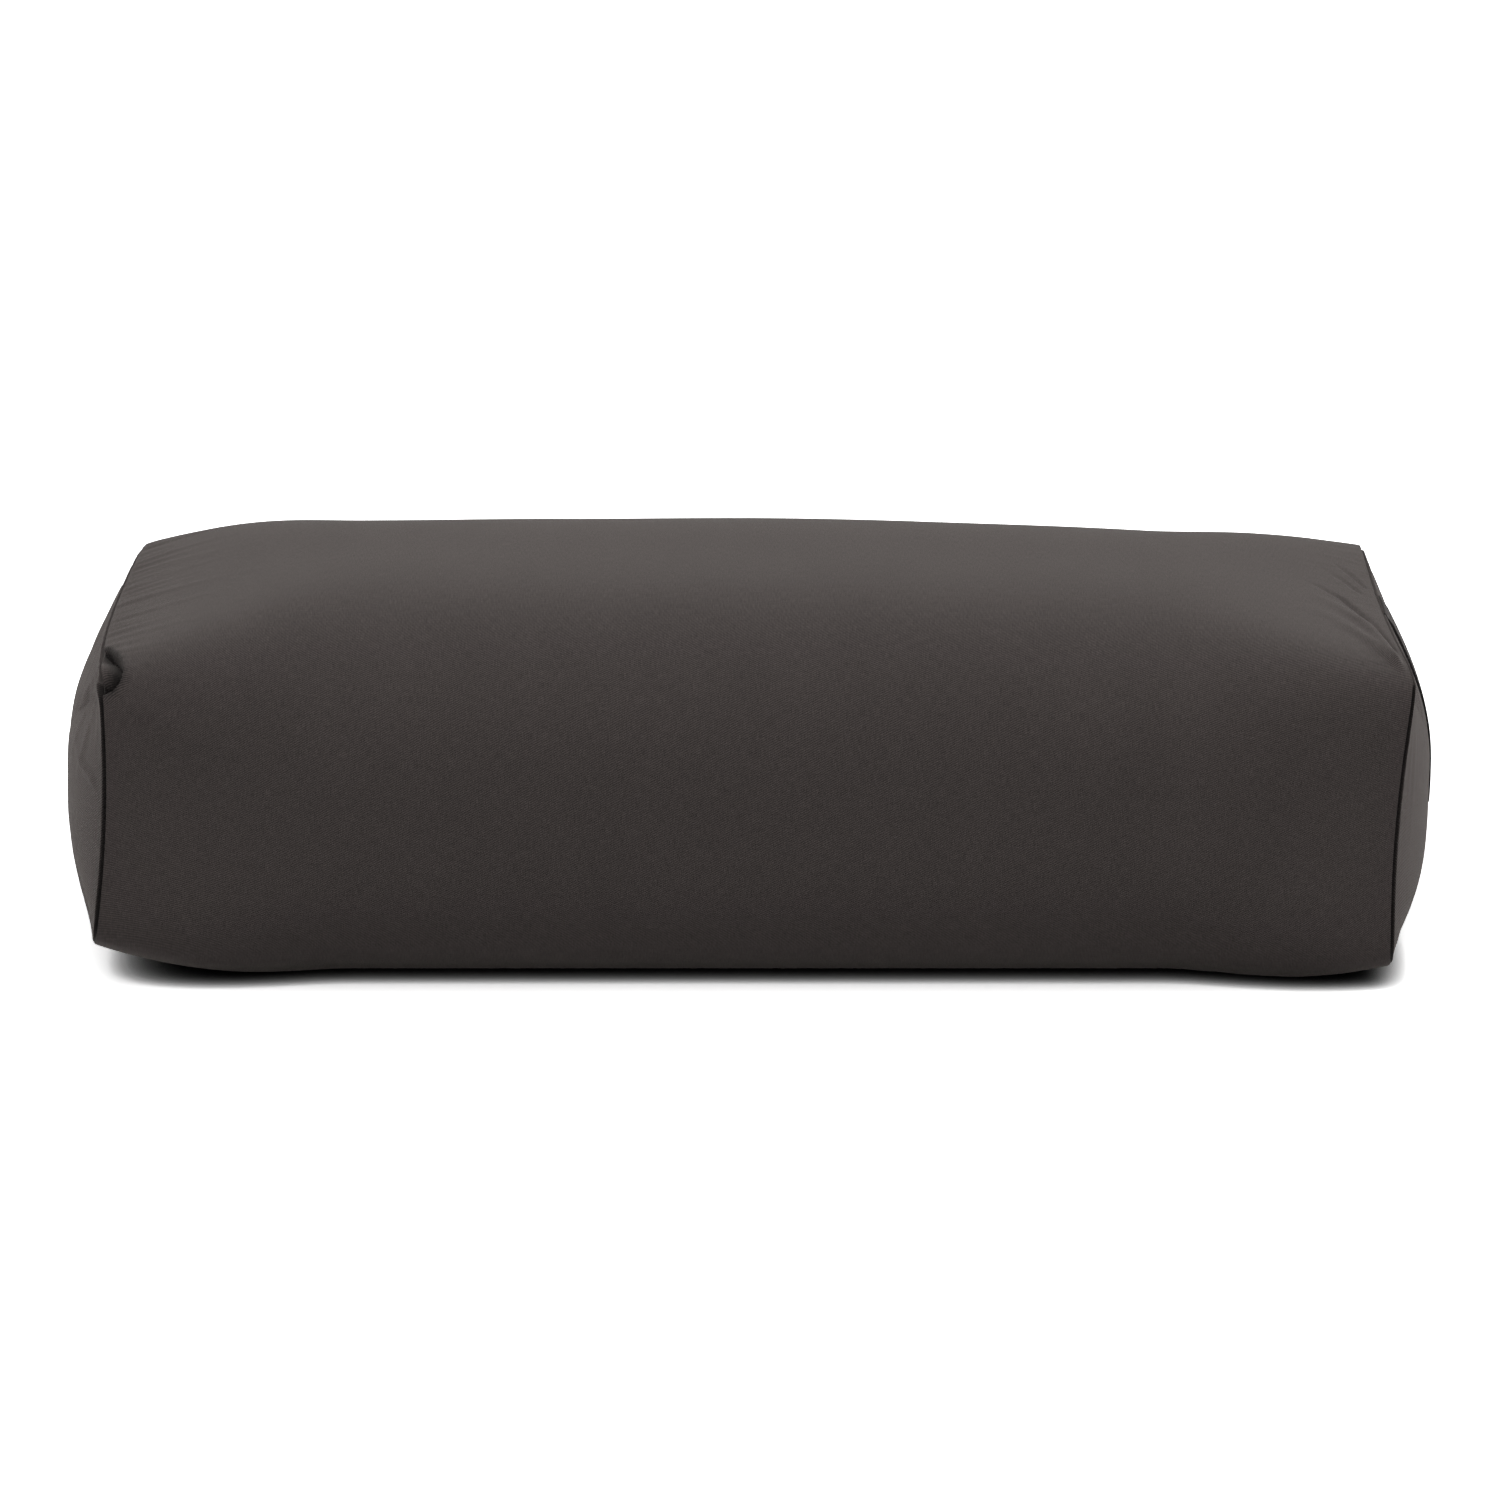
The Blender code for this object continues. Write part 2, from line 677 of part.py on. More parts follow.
cover_places = (opening_half, opening_half / 2)
wrap_panel("cover_wrap_panel", cover, cover_lining, cover_places, twill, True)
liner_places = (recess_half,)
wrap_panel("liner_wrap_panel", liner, liner_inside, liner_places, calico, False)
for side, word in ((-1, "left"), (1, "right")):
    end_panel(
        "cover_end_panel_" + word, side, cover, TWILL, GAP, COVER_ALLOWANCE, COVER_DOME_SHARES, twill
    )
    end_panel(
        "liner_end_panel_" + word,
        side,
        liner,
        LINER_CLOTH,
        GAP,
        LINER_ALLOWANCE,
        LINER_DOME_SHARES,
        calico,
    )
    end_rings = [wadding.pole(side)]
    end_rings += [wadding.dome_ring(side, share, -GAP) for share in WADDING_DOME_SHARES]
    end_rings.append(wadding.seam_ring(side, 0.0, -GAP))
    end_rings.append([Vector((side * (wadding.seam_x + GAP), 0.0, seam_middle))])
    skin("wadding_end_" + word, end_rings, fleece)

square = walk(wadding.seam_z)
wadding_places = along(wadding, liner_places)
hole_y, hole_z = foam_half_depth + GAP, foam_half_height + GAP
wadding_rings = [wadding.ring(x) for x in wadding_places]
wadding_rings += [box_ring(side * wadding.seam_x, hole_y, hole_z, square) for side in (1, -1)]
skin("wadding_wrap", wadding_rings, fleece)

corners = [(-1, -1), (1, -1), (1, 1), (-1, 1)]
block = prism(
    "foam_core",
    [(y * foam_half_depth, z * foam_half_height) for y, z in corners],
    lambda y, z, x: Vector((x, y, seam_middle + z)),
    -wadding.seam_x,
    wadding.seam_x,
    foam,
)
edges = block.modifiers.new("softened edges", "BEVEL")
edges.width = FOAM_EDGE_RADIUS
edges.segments = 2
smooth(block)

zip_half("zip_tape_upper", 1, tape_cloth)
zip_half("zip_tape_lower", -1, tape_cloth)
top_stop("zip_top_stop_upper", 1, zip_metal)
top_stop("zip_top_stop_lower", -1, zip_metal)
bottom_stop("zip_bottom_stop", zip_metal)
slider("zip_slider", zip_metal)
pull_tab("zip_pull_tab", zip_metal)

loop_points = loop_line(cover)
carry_loop("carry_loop", loop_points, webbing)

print("slider at", [round(v, 6) for v in at_zip(slider_x, 0.0, 0.0)])
print("pull axis", [round(v, 6) for v in at_zip(slider_x, pull_axis_height(), 0.0)])
print("slider travel", round(slider_x - SLIDER_LENGTH / 2 - bottom_stop_right - GAP, 6))
print("loop root", [round(v, 6) for v in loop_root(loop_points)])
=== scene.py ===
"""Looks of the rectangular yoga bolster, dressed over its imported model.

Metres, +Z up, in the frame of the CAD: +X along the bolster to the end with the carrying loop,
the zip on the back at +Y, the floor at zero. Cloth is modelled as grids of points, with the
flat cloth's own coordinates as the UV map of its weave.
"""
import math

import bmesh
import bpy
import numpy as np
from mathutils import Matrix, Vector
from mathutils.bvhtree import BVHTree


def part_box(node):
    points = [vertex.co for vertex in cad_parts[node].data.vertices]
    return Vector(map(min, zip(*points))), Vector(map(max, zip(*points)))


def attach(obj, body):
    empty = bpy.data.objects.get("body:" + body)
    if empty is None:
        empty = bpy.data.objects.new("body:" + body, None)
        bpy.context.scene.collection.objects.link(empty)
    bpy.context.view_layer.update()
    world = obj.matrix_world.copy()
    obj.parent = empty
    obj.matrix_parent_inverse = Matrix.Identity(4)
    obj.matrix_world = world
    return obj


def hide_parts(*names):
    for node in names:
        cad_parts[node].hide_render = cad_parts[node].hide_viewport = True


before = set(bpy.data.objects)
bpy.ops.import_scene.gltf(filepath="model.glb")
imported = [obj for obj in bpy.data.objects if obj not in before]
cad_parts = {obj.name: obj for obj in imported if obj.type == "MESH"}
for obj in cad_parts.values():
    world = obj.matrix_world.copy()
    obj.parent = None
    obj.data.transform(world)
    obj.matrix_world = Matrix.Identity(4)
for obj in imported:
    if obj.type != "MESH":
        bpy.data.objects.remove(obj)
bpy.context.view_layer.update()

# The stuffed cover. A heavy cotton twill in charcoal is sewn into a long tube with a panel in
# each end and pulled over a firm filling. The filling has settled a little: the crown falls
# towards the right, and the right end sits lower than the left one.
GIRTH_FULLNESS = 0.001
SEAM_INSET = 0.0065
CROWN_SETTLED = 0.001
wrap_high = Vector(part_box("cover_wrap_panel")[1])
HALF_LENGTH = wrap_high.x
GIRTH_HALF_DEPTH = wrap_high.y + GIRTH_FULLNESS
SEAM_HALF_DEPTH = wrap_high.y - SEAM_INSET
CROWN_HEIGHT = wrap_high.z - CROWN_SETTLED
CROWN_CAMBER = 0.0036
CROWN_FALL = 0.0103
CROWN_FALL_POWER = 1.5
LEVEL = 0.0835
HALF_LEVEL = 0.0635
FLOOR_PRESS = 0.013
SEAM_SQUARENESS = 9.0
GIRTH_SQUARENESS = 3.0
RISE_POWER = 1.8
SEAM_SINK = 0.0024
SEAM_TURN = 0.0013
SEAM_PINCH = 0.0008
SEAM_SHADE = 0.7
SEAM_SHADE_WIDTH = 0.0010
SEAM_FLAT_WIDTH = 0.0010
SINK_SHARE_LYING = 0.25
LYING_SHARE = 0.25
BOW_LEAN = 0.4
TINY = 1e-12


def mix(low, high, share):
    return low + (high - low) * share


def hill(distance, width):
    return np.exp(-((distance / width) ** 2))


def superellipse(y, z, power):
    """Points of the unit square's edge, drawn onto a superellipse."""
    reach = np.maximum((np.abs(y) ** power + np.abs(z) ** power) ** (1 / power), TINY)
    return y / reach, z / reach


def turned(distance):
    """Share of a seam's sink that is left at a distance from it, as the cloth rolls over."""
    run = 1 - np.clip(distance / SEAM_TURN, 0, 1)
    return 1 - np.sqrt(1 - run**2)


class EndSeam:
    """One end seam, whose lean and bend are given at its front and its back edge.

    Its points are given on the edge of a unit square, y to the back and z up.
    """

    def __init__(self, side, out, lean, bend, bow, foot, head, rise):
        self.side = side
        self.x = HALF_LENGTH + out
        self.lean, self.bend, self.bow = lean, bend, bow
        self.foot, self.head, self.rise = foot, head, rise

    def heights(self, z, depth=0.0):
        return LEVEL + np.where(z > 0, self.head - LEVEL - depth, LEVEL - self.foot - depth) * z

    def reach(self, y, z):
        """How far out the seam lies."""
        py, pz = superellipse(y, z, SEAM_SQUARENESS)
        level = (self.heights(pz) - LEVEL) / HALF_LEVEL
        back = (np.clip(py, -1, 1) + 1) / 2
        lean = mix(self.lean[0], self.lean[1], back)
        bend = mix(self.bend[0], self.bend[1], back)
        bow = np.where(np.abs(z) >= 1, self.bow * (1 - y * y) * (1 - BOW_LEAN * y), 0.0)
        return self.x + lean * level + bend * level**2 - bow

    def sink(self, z):
        """How deep the seam pulls the cloth in, which is less where the bolster lies on it."""
        return SEAM_SINK * mix(SINK_SHARE_LYING, 1.0, np.clip((z + 1) / LYING_SHARE, 0, 1))

    def radial(self, y, z):
        """Unit vectors that point out of the seam's loop in its own plane."""
        py, pz = superellipse(y, z, SEAM_SQUARENESS)
        out_y = np.sign(py) * np.abs(py) ** (SEAM_SQUARENESS - 1) / SEAM_HALF_DEPTH
        out_z = np.sign(pz) * np.abs(pz) ** (SEAM_SQUARENESS - 1) / HALF_LEVEL
        size = np.maximum(np.hypot(out_y, out_z), TINY)
        return np.stack([np.zeros_like(size), out_y / size, out_z / size], axis=-1)


LEFT = EndSeam(
    side=-1,
    out=0.0,
    lean=(-0.0030, 0.0),
    bend=(0.0038, -0.0013),
    bow=-0.0036,
    foot=0.0156,
    head=0.1527,
    rise=0.113,
)
RIGHT = EndSeam(
    side=1,
    out=0.0009,
    lean=(0.0045, 0.0044),
    bend=(0.0032, -0.0030),
    bow=0.0042,
    foot=0.0043,
    head=0.1523,
    rise=0.108,
)


def edge_walk(top_shares, side_shares, bottom_shares):
    """The unit square's edge: up the back, over the top, down the front and back below."""
    y = [1.0] * len(side_shares) + list(-np.array(top_shares))
    z = list(side_shares) + [1.0] * len(top_shares)
    y += [-1.0] * len(side_shares) + list(bottom_shares)
    z += list(-np.array(side_shares)) + [-1.0] * len(bottom_shares)
    return np.array(y), np.array(z)


def crown(x):
    """Height of the cover's top along the middle."""
    along = x / HALF_LENGTH
    fall = CROWN_FALL * np.maximum(along, 0.0) ** CROWN_FALL_POWER
    return CROWN_HEIGHT - CROWN_CAMBER * along**2 - fall


def stuffed_ring(place, y, z, depth=0.0):
    """Points round the long panel at a place between -1, the left seam, and 1, the right one."""
    end = RIGHT if place > 0 else LEFT
    out = abs(place) * end.x
    run = min(1.0, (end.x - out) / end.rise)
    grown = 1 - (1 - run) ** RISE_POWER
    py, pz = superellipse(y, z, mix(SEAM_SQUARENESS, GIRTH_SQUARENESS, grown))
    x = out + (end.reach(y, z) - end.x) * (1 - run) ** 2
    half_y = mix(SEAM_HALF_DEPTH, GIRTH_HALF_DEPTH, grown) - depth
    up = mix(end.head - LEVEL, float(crown(end.side * out)) - LEVEL, grown) - depth
    down = mix(LEVEL - end.foot, LEVEL + FLOOR_PRESS, grown) - depth
    level = LEVEL + np.where(pz > 0, up, down) * pz
    return np.stack([end.side * x, half_y * py, np.maximum(depth, level)], axis=-1)


def spread(coarse, fine, near):
    """Shares from -1 to 1 whose step grows from fine at both ends to coarse inside."""
    steps, place = [0.0], 0.0
    while place < 1.0:
        place += mix(fine, coarse, min(1.0, place / near))
        steps.append(place)
    steps = [share / place for share in steps]
    return [share - 1 for share in steps] + [1 - share for share in reversed(steps[:-1])]


def grid_normals(points, centre):
    """Normals of a grid of points, on the side away from a point inside."""
    along = np.gradient(points, axis=0)
    normal = np.cross(np.gradient(points, axis=1), along)
    normal /= np.maximum(np.linalg.norm(normal, axis=-1, keepdims=True), TINY)
    outwards = np.sum(normal * (points - centre), axis=-1).mean()
    return normal if outwards > 0 else -normal


def grid_piece(name, points, flat, closed=False, skip=None):
    """A smooth mesh over a grid of points; flat(i, j) is the cloth's own place of a corner."""
    rows, columns = points.shape[:2]
    mesh = bpy.data.meshes.new(name)
    faces, corners = [], []
    for i in range(rows - 1):
        for j in range(columns if closed else columns - 1):
            k = (j + 1) % columns
            if skip is not None and skip(i, j):
                continue
            first, second = i * columns, (i + 1) * columns
            faces.append((first + j, second + j, second + k, first + k))
            corners += [(i, j), (i + 1, j), (i + 1, j + 1), (i, j + 1)]
    mesh.from_pydata(points.reshape(-1, 3).tolist(), [], faces)
    layer = mesh.uv_layers.new(name="cloth")
    places = np.array([flat(i, j) for i, j in corners], dtype=np.float32)
    layer.data.foreach_set("uv", places.ravel())
    mesh.shade_smooth()
    made = bpy.data.objects.new(name, mesh)
    bpy.context.scene.collection.objects.link(made)
    return made


def rework(made, change):
    """Changes a piece's mesh in place and turns its faces outwards."""
    work = bmesh.new()
    work.from_mesh(made.data)
    change(work)
    bmesh.ops.recalc_face_normals(work, faces=work.faces)
    work.to_mesh(made.data)
    work.free()


def extend_edges(made, chosen, steps):
    """Draws further rows of cloth out of a mesh's open edges, one for each step."""

    def grow(work):
        edges = [edge for edge in work.edges if edge.is_boundary and chosen(edge)]
        for step in steps:
            grown = bmesh.ops.extrude_edge_only(work, edges=edges)
            edges = [item for item in grown["geom"] if isinstance(item, bmesh.types.BMEdge)]
            for vert in {vert for edge in edges for vert in edge.verts}:
                vert.co = step(vert.co)

    rework(made, grow)
    made.data.shade_smooth()


def paint_shade(made, depth):
    """Gives a piece a value between 0 and 1 of painted shade, which darkens its colour."""
    shade = made.data.attributes.new("crease_and_painted_shade", "FLOAT", "POINT")
    shade.data.foreach_set("value", np.asarray(depth, dtype=np.float32).ravel())


GATHER_REACH_SHARES = (0.45, 1.25)
GATHER_HEIGHT_SHARES = (0.3, 1.0)
GATHER_WIDTH_SHARES = (0.2, 0.38)
GATHER_STEP_SHARES = (0.7, 1.35)
GATHER_DRIFT = 0.12
GATHER_FADE_POWER = 1.6
GATHER_START_SHARE = 0.3
FOLD_START_SHARE = 0.15
FOLD_END_SHARE = 0.6
rng = np.random.default_rng(7)


def gathers(along, inwards, spacing, length, height):
    """Small puckers that leave a seam at right angles and die out in the panel."""
    total = np.zeros(np.broadcast(along, inwards).shape)
    place = float(np.min(along)) + spacing
    while place < float(np.max(along)):
        reach = length * rng.uniform(*GATHER_REACH_SHARES)
        tall = height * rng.uniform(*GATHER_HEIGHT_SHARES)
        wide = spacing * rng.uniform(*GATHER_WIDTH_SHARES)
        drift = rng.uniform(-GATHER_DRIFT, GATHER_DRIFT)
        begun = 1 - np.exp(-inwards / (GATHER_START_SHARE * spacing))
        fade = np.exp(-((inwards / reach) ** GATHER_FADE_POWER)) * begun
        total = total + tall * fade * hill(along - place - drift * inwards, wide)
        place += spacing * rng.uniform(*GATHER_STEP_SHARES)
    return total


def fold(points_a, points_b, line, widths, height):
    """A ridge along given points in any two coordinates, or a groove if height is below 0."""
    best = np.full(points_a.shape, np.inf)
    share = np.zeros(points_a.shape)
    length = sum(math.dist(p, q) for p, q in zip(line, line[1:]))
    walked = 0.0
    for (ax, ay), (bx, by) in zip(line, line[1:]):
        span = math.dist((ax, ay), (bx, by))
        t = ((points_a - ax) * (bx - ax) + (points_b - ay) * (by - ay)) / span**2
        t = np.clip(t, 0, 1)
        gap = np.hypot(points_a - ax - t * (bx - ax), points_b - ay - t * (by - ay))
        nearer = gap < best
        best = np.where(nearer, gap, best)
        share = np.where(nearer, (walked + t * span) / length, share)
        walked += span
    fade = np.clip(share / FOLD_START_SHARE, 0, 1) * np.clip((1 - share) / FOLD_END_SHARE, 0, 1)
    width = mix(widths[0], widths[1], share)
    return height * hill(best, width) * fade * fade * (3 - 2 * fade)


def uneven(points, height, shortest, longest, seed, waves=24):
    """Small moves for points, along a soft random pattern that is the same in every run."""
    own = np.random.default_rng(seed)
    total = np.zeros(points.shape)
    for _ in range(waves):
        direction = own.normal(size=3)
        direction /= np.linalg.norm(direction)
        length = own.uniform(shortest, longest)
        phase = points @ direction * 2 * math.pi / length + own.uniform(0, 2 * math.pi)
        total += np.sin(phase)[..., None] * own.normal(size=3) * height / waves**0.5
    return total


# Long panel: one width of twill that wraps the filling, closed at the back by the zip. It is
# firm and smooth over the middle and gathers into fine puckers where it meets the end seams,
# with a few fine folds that run from the front right corner over the top.
TOP_CORNER_POWER = 8
top_shares = spread(0.018, 0.005, 0.25)[:-1]
side_shares = spread(0.040, 0.009, 0.4)[:-1]
foot_shares = spread(0.060, 0.020, 0.3)[:-1]
ring_y, ring_z = edge_walk(top_shares, side_shares, foot_shares)
places = spread(0.0105, 0.0010, 0.25)
base = np.array([stuffed_ring(place, ring_y, ring_z) for place in places])
middle = np.array([0.0, 0.0, LEVEL])
out = grid_normals(np.concatenate([base, base[:, :1]], axis=1), middle)[:, :-1]
out[:, 0] = (out[:, 1] + out[:, -1]) / 2
shares = np.array(places)
is_left = (shares < 0)[:, None]
half_run = np.where(shares > 0, RIGHT.x, LEFT.x)
from_seam = ((1 - np.abs(shares)) * half_run)[:, None]
middle_ring = base[len(base) // 2]
steps_around = np.linalg.norm(np.roll(middle_ring, -1, axis=0) - middle_ring, axis=1)
around = np.concatenate([[0.0], np.cumsum(steps_around)])
on_top = ((ring_z >= 1) * (1 - np.abs(ring_y) ** TOP_CORNER_POWER))[None, :]

LEFT_GATHERS = {"spacing": 0.0085, "length": 0.024, "height": 0.0013}
RIGHT_GATHERS = {"spacing": 0.0100, "length": 0.024, "height": 0.0009}
LEFT_GATHER_SHARE, LEFT_GATHER_SHARE_ON_TOP = 0.14, 1.0
RIGHT_GATHER_SHARE, RIGHT_GATHER_SHARE_ON_TOP = 0.22, 0.12
left_gathers = gathers(around[None, :-1], from_seam, **LEFT_GATHERS)
right_gathers = gathers(around[None, :-1], from_seam, **RIGHT_GATHERS)
left_gathers = left_gathers * (LEFT_GATHER_SHARE + LEFT_GATHER_SHARE_ON_TOP * on_top)
right_gathers = right_gathers * (RIGHT_GATHER_SHARE + RIGHT_GATHER_SHARE_ON_TOP * on_top)
proud = np.where(is_left, left_gathers, right_gathers)

# Each fold has its points, its width at the start and at the end, and its height.
TOP_FOLDS = (
    (
        (
            (0.305, -0.137),
            (0.302, -0.120),
            (0.298, -0.094),
            (0.292, -0.060),
            (0.283, -0.036),
            (0.266, -0.006),
        ),
        (0.0020, 0.0046),
        0.0024,
    ),
    (
        ((0.306, -0.134), (0.302, -0.124), (0.291, -0.090), (0.279, -0.061), (0.262, -0.040)),
        (0.0022, 0.0060),
        0.0017,
    ),
    (
        ((0.296, -0.058), (0.291, -0.036), (0.284, -0.012), (0.274, 0.004), (0.262, 0.016)),
        (0.0014, 0.0022),
        -0.0016,
    ),
    (((0.304, -0.110), (0.300, -0.078), (0.296, -0.050), (0.291, -0.022)), (0.0010, 0.0016), -0.0011),
    (((0.299, 0.018), (0.293, 0.044), (0.282, 0.070)), (0.0012, 0.0018), -0.0008),
    (((0.296, 0.004), (0.288, 0.028), (0.276, 0.052)), (0.0014, 0.0022), -0.0007),
)
FRONT_FOLDS = (
    (((-0.290, 0.142), (-0.262, 0.124), (-0.225, 0.108)), (0.0040, 0.0110), 0.0008),
    (((0.300, 0.138), (0.280, 0.114), (0.240, 0.095)), (0.0030, 0.0110), 0.0009),
)
place_x, place_y, place_z = base[..., 0], base[..., 1], base[..., 2]
FACING_GAIN = 2.0
facing_up = np.clip(out[..., 2] * FACING_GAIN, 0, 1)
facing_front = np.clip(-out[..., 1] * FACING_GAIN, 0, 1)
for line, widths, height in TOP_FOLDS:
    proud += facing_up * fold(place_x, place_y, line, widths, height)
for line, widths, height in FRONT_FOLDS:
    proud += facing_front * fold(place_x, place_z, line, widths, height)

# The firm filling leaves the panel a little uneven, and the zip's tapes hold its edges in.
UNEVEN_HEIGHT = 0.00022
UNEVEN_LENGTHS = (0.05, 0.15)
UNEVEN_FROM = 0.01
UNEVEN_RISE = 0.04
ZIP_DIP = 0.0011
ZIP_DIP_WIDTH = 0.020
BACK_FROM = 0.10
slider_low, slider_high = (Vector(corner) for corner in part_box("zip_slider"))
zip_level = (slider_low.z + slider_high.z) / 2
above_floor = np.clip((place_z - UNEVEN_FROM) / UNEVEN_RISE, 0, 1)
proud += uneven(base, UNEVEN_HEIGHT, *UNEVEN_LENGTHS, seed=3)[..., 0] * above_floor
beside_zip = (place_y > BACK_FROM) * hill(place_z - zip_level, ZIP_DIP_WIDTH)
proud = mix(proud, -ZIP_DIP, beside_zip)

# The corner at the front left stands out as a small lobe, where the turned-in cloth of both
# panels is bunched, with a deep crease curled round it. Both are laid out as seen from the front.
# The crease, and a ring along its bottom, are also painted dark as shade.
CREASE_AT = (-0.3030, 0.1122)
CREASE_STARTS = 0.0022
CREASE_RADIUS = 0.0102
CREASE_WALL = 0.0018
PAINTED_RIM_INSET = 0.0008
PAINTED_RIM_WIDTH = 0.0027
CREASE_DEPTH = 0.0074
CREASE_SLOPE_POWER = 1.4
CREASE_HALF_TURN = math.radians(104)
CREASE_FADE_TURN = math.radians(30)
LIP_OUT = 0.0022
LIP_WIDTH = 0.0018
LIP_HEIGHT = 0.0009
LIP_LAP = 0.0012
LOBE_HEIGHT = 0.0020
LOBE_WIDTH = 0.0050
LOBE_TIP = 0.001
CALM_SHARE = 0.8
CALM_WIDTH = 0.013
SEEN_FROM = math.radians(14.4)
seen_height = place_z * math.cos(SEEN_FROM) + place_y * math.sin(SEEN_FROM)
beside, above = place_x - CREASE_AT[0], seen_height - CREASE_AT[1]
from_middle = np.hypot(beside, above)
at_corner = is_left * (place_y < 0)
turn_left = CREASE_HALF_TURN - np.abs(np.arctan2(above, beside))
in_curl = at_corner * np.clip(turn_left / CREASE_FADE_TURN, 0, 1)
sloping = np.clip((from_middle - CREASE_STARTS) / (CREASE_RADIUS - CREASE_STARTS), 0, 1)
wall = np.clip((from_middle - CREASE_RADIUS) / CREASE_WALL, 0, 1)
lip = in_curl * hill(from_middle - CREASE_RADIUS - LIP_OUT, LIP_WIDTH)
# Painted shade only: a ring along the bottom of the crease, darker in colour, with no change in shape.
painted_rim_shade = in_curl * hill(from_middle - CREASE_RADIUS + PAINTED_RIM_INSET, PAINTED_RIM_WIDTH)
crease_and_painted_shade = in_curl * sloping**CREASE_SLOPE_POWER * (1 - wall)
proud *= 1 - CALM_SHARE * at_corner * hill(from_middle, CALM_WIDTH)
proud += LOBE_HEIGHT * at_corner * hill(from_middle, LOBE_WIDTH) + LIP_HEIGHT * lip
proud -= CREASE_DEPTH * crease_and_painted_shade
to_middle = np.stack(
    [-beside, -above * math.sin(SEEN_FROM), -above * math.cos(SEEN_FROM)], axis=-1
) / np.maximum(from_middle, LOBE_TIP)[..., None]

radial = LEFT.radial(ring_y, ring_z)[None, :, :]
axial = np.array([1.0, 0.0, 0.0]) * np.sign(shares)[:, None, None]
proud *= 1 - hill(from_seam, SEAM_FLAT_WIDTH)
points = base + out * proud[..., None] + to_middle * (LIP_LAP * lip)[..., None]
sunk = LEFT.sink(ring_z)[None, :]
points = points - radial * (sunk * turned(from_seam))[..., None]
points = points - axial * (sunk * hill(from_seam, SEAM_PINCH))[..., None]
points[..., 2] = np.maximum(points[..., 2], 0.0)

ALLOWANCE_STEPS = np.array([0.0012, 0.0028, 0.0060])
ALLOWANCE_INWARDS, ALLOWANCE_BACKWARDS = 0.8, 0.6


def allowance_rows(edge, side):
    """Rows of the long panel's cloth that turn in behind the end seam."""
    away = ALLOWANCE_INWARDS * radial[0] + ALLOWANCE_BACKWARDS * np.array([side, 0.0, 0.0])
    return [edge - away * step for step in ALLOWANCE_STEPS]


left_rows = allowance_rows(points[0], -1)[::-1]
right_rows = allowance_rows(points[-1], 1)
points = np.concatenate([left_rows, points, right_rows])
flat_x = shares * half_run
flat_x = np.concatenate([flat_x[0] - ALLOWANCE_STEPS[::-1], flat_x, flat_x[-1] + ALLOWANCE_STEPS])

# Zip opening: a slot along the back of the long panel, a little shorter than the zip's tapes.
# Its two edges are folded under, so that no raw cloth shows beside the teeth.
SLOT_HALF_WIDTH = 0.0059
SLOT_SHORTER = 0.005
NEAR_SLOT = 0.02
tape_low, tape_high = (Vector(corner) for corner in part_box("zip_tape_upper"))
zip_y = (tape_low.y + tape_high.y) / 2
slot_reach = tape_high.x - SLOT_SHORTER
from_zip = middle_ring[:, 2] - zip_level
near_zip = [j for j in range(len(ring_y)) if ring_y[j] == 1.0 and abs(from_zip[j]) < NEAR_SLOT]
lower = min(near_zip, key=lambda j: abs(from_zip[j] + SLOT_HALF_WIDTH))
upper = min(near_zip, key=lambda j: abs(from_zip[j] - SLOT_HALF_WIDTH))
open_rows = [i for i in range(len(points)) if abs(flat_x[i]) <= slot_reach]
for i in open_rows:
    points[i, lower, 2] = zip_level - SLOT_HALF_WIDTH
    points[i, upper, 2] = zip_level + SLOT_HALF_WIDTH
    for j in range(lower + 1, upper):
        share = (j - lower) / (upper - lower)
        points[i, j, 2] = mix(points[i, lower, 2], points[i, upper, 2], share)

cover_wrap = grid_piece(
    "cover_wrap",
    points,
    lambda i, j: (flat_x[i], around[j]),
    closed=True,
    skip=lambda i, j: lower <= j < upper and open_rows[0] <= i < open_rows[-1],
)
# Painted shade for the colour: full on the turned-in rows, along the end seams except where the cloth
# faces up, in the corner crease and in a ring along its bottom.
painted_shade = np.ones(points.shape[:2])
turned_in_rows = len(ALLOWANCE_STEPS)
seam_shade = SEAM_SHADE * hill(from_seam, SEAM_SHADE_WIDTH) * (1 - facing_up)
painted_shade[turned_in_rows:-turned_in_rows] = np.maximum(np.maximum(crease_and_painted_shade, painted_rim_shade), seam_shade)
paint_shade(cover_wrap, painted_shade)

HEM_DEPTHS = (0.0007, 0.0010)
HEM_SHIFTS = (0.0004, 0.0012)
SLOT_END_REACH = 0.002


def at_slot(edge):
    start = edge.verts[0].co
    return start.y > BACK_FROM and abs(start.x) <= slot_reach + SLOT_END_REACH


def folded_under(depth, shift):
    """A step that takes the slot's edge inwards and back away from the zip."""

    def step(co):
        away = math.copysign(shift, co.z - zip_level)
        return Vector((co.x, co.y - depth, co.z + away))

    return step


hem_steps = [folded_under(depth, shift) for depth, shift in zip(HEM_DEPTHS, HEM_SHIFTS)]
extend_edges(cover_wrap, at_slot, hem_steps)

# End panels: two rectangles of the same twill, sewn in on all four sides. The filling pushes
# each one out into a dome, which hangs straight under the top seam and is fullest below its
# middle, with short puckers along the seams.


def dome_profile(b, top, foot):
    """Share of the bulge at a height; each half is a (power, softness) of its own curve."""
    upper = (1 - np.abs(b) ** top[0]) ** top[1]
    lower = (1 - np.abs(b) ** foot[0]) ** foot[1]
    return np.where(b > 0, upper, lower)


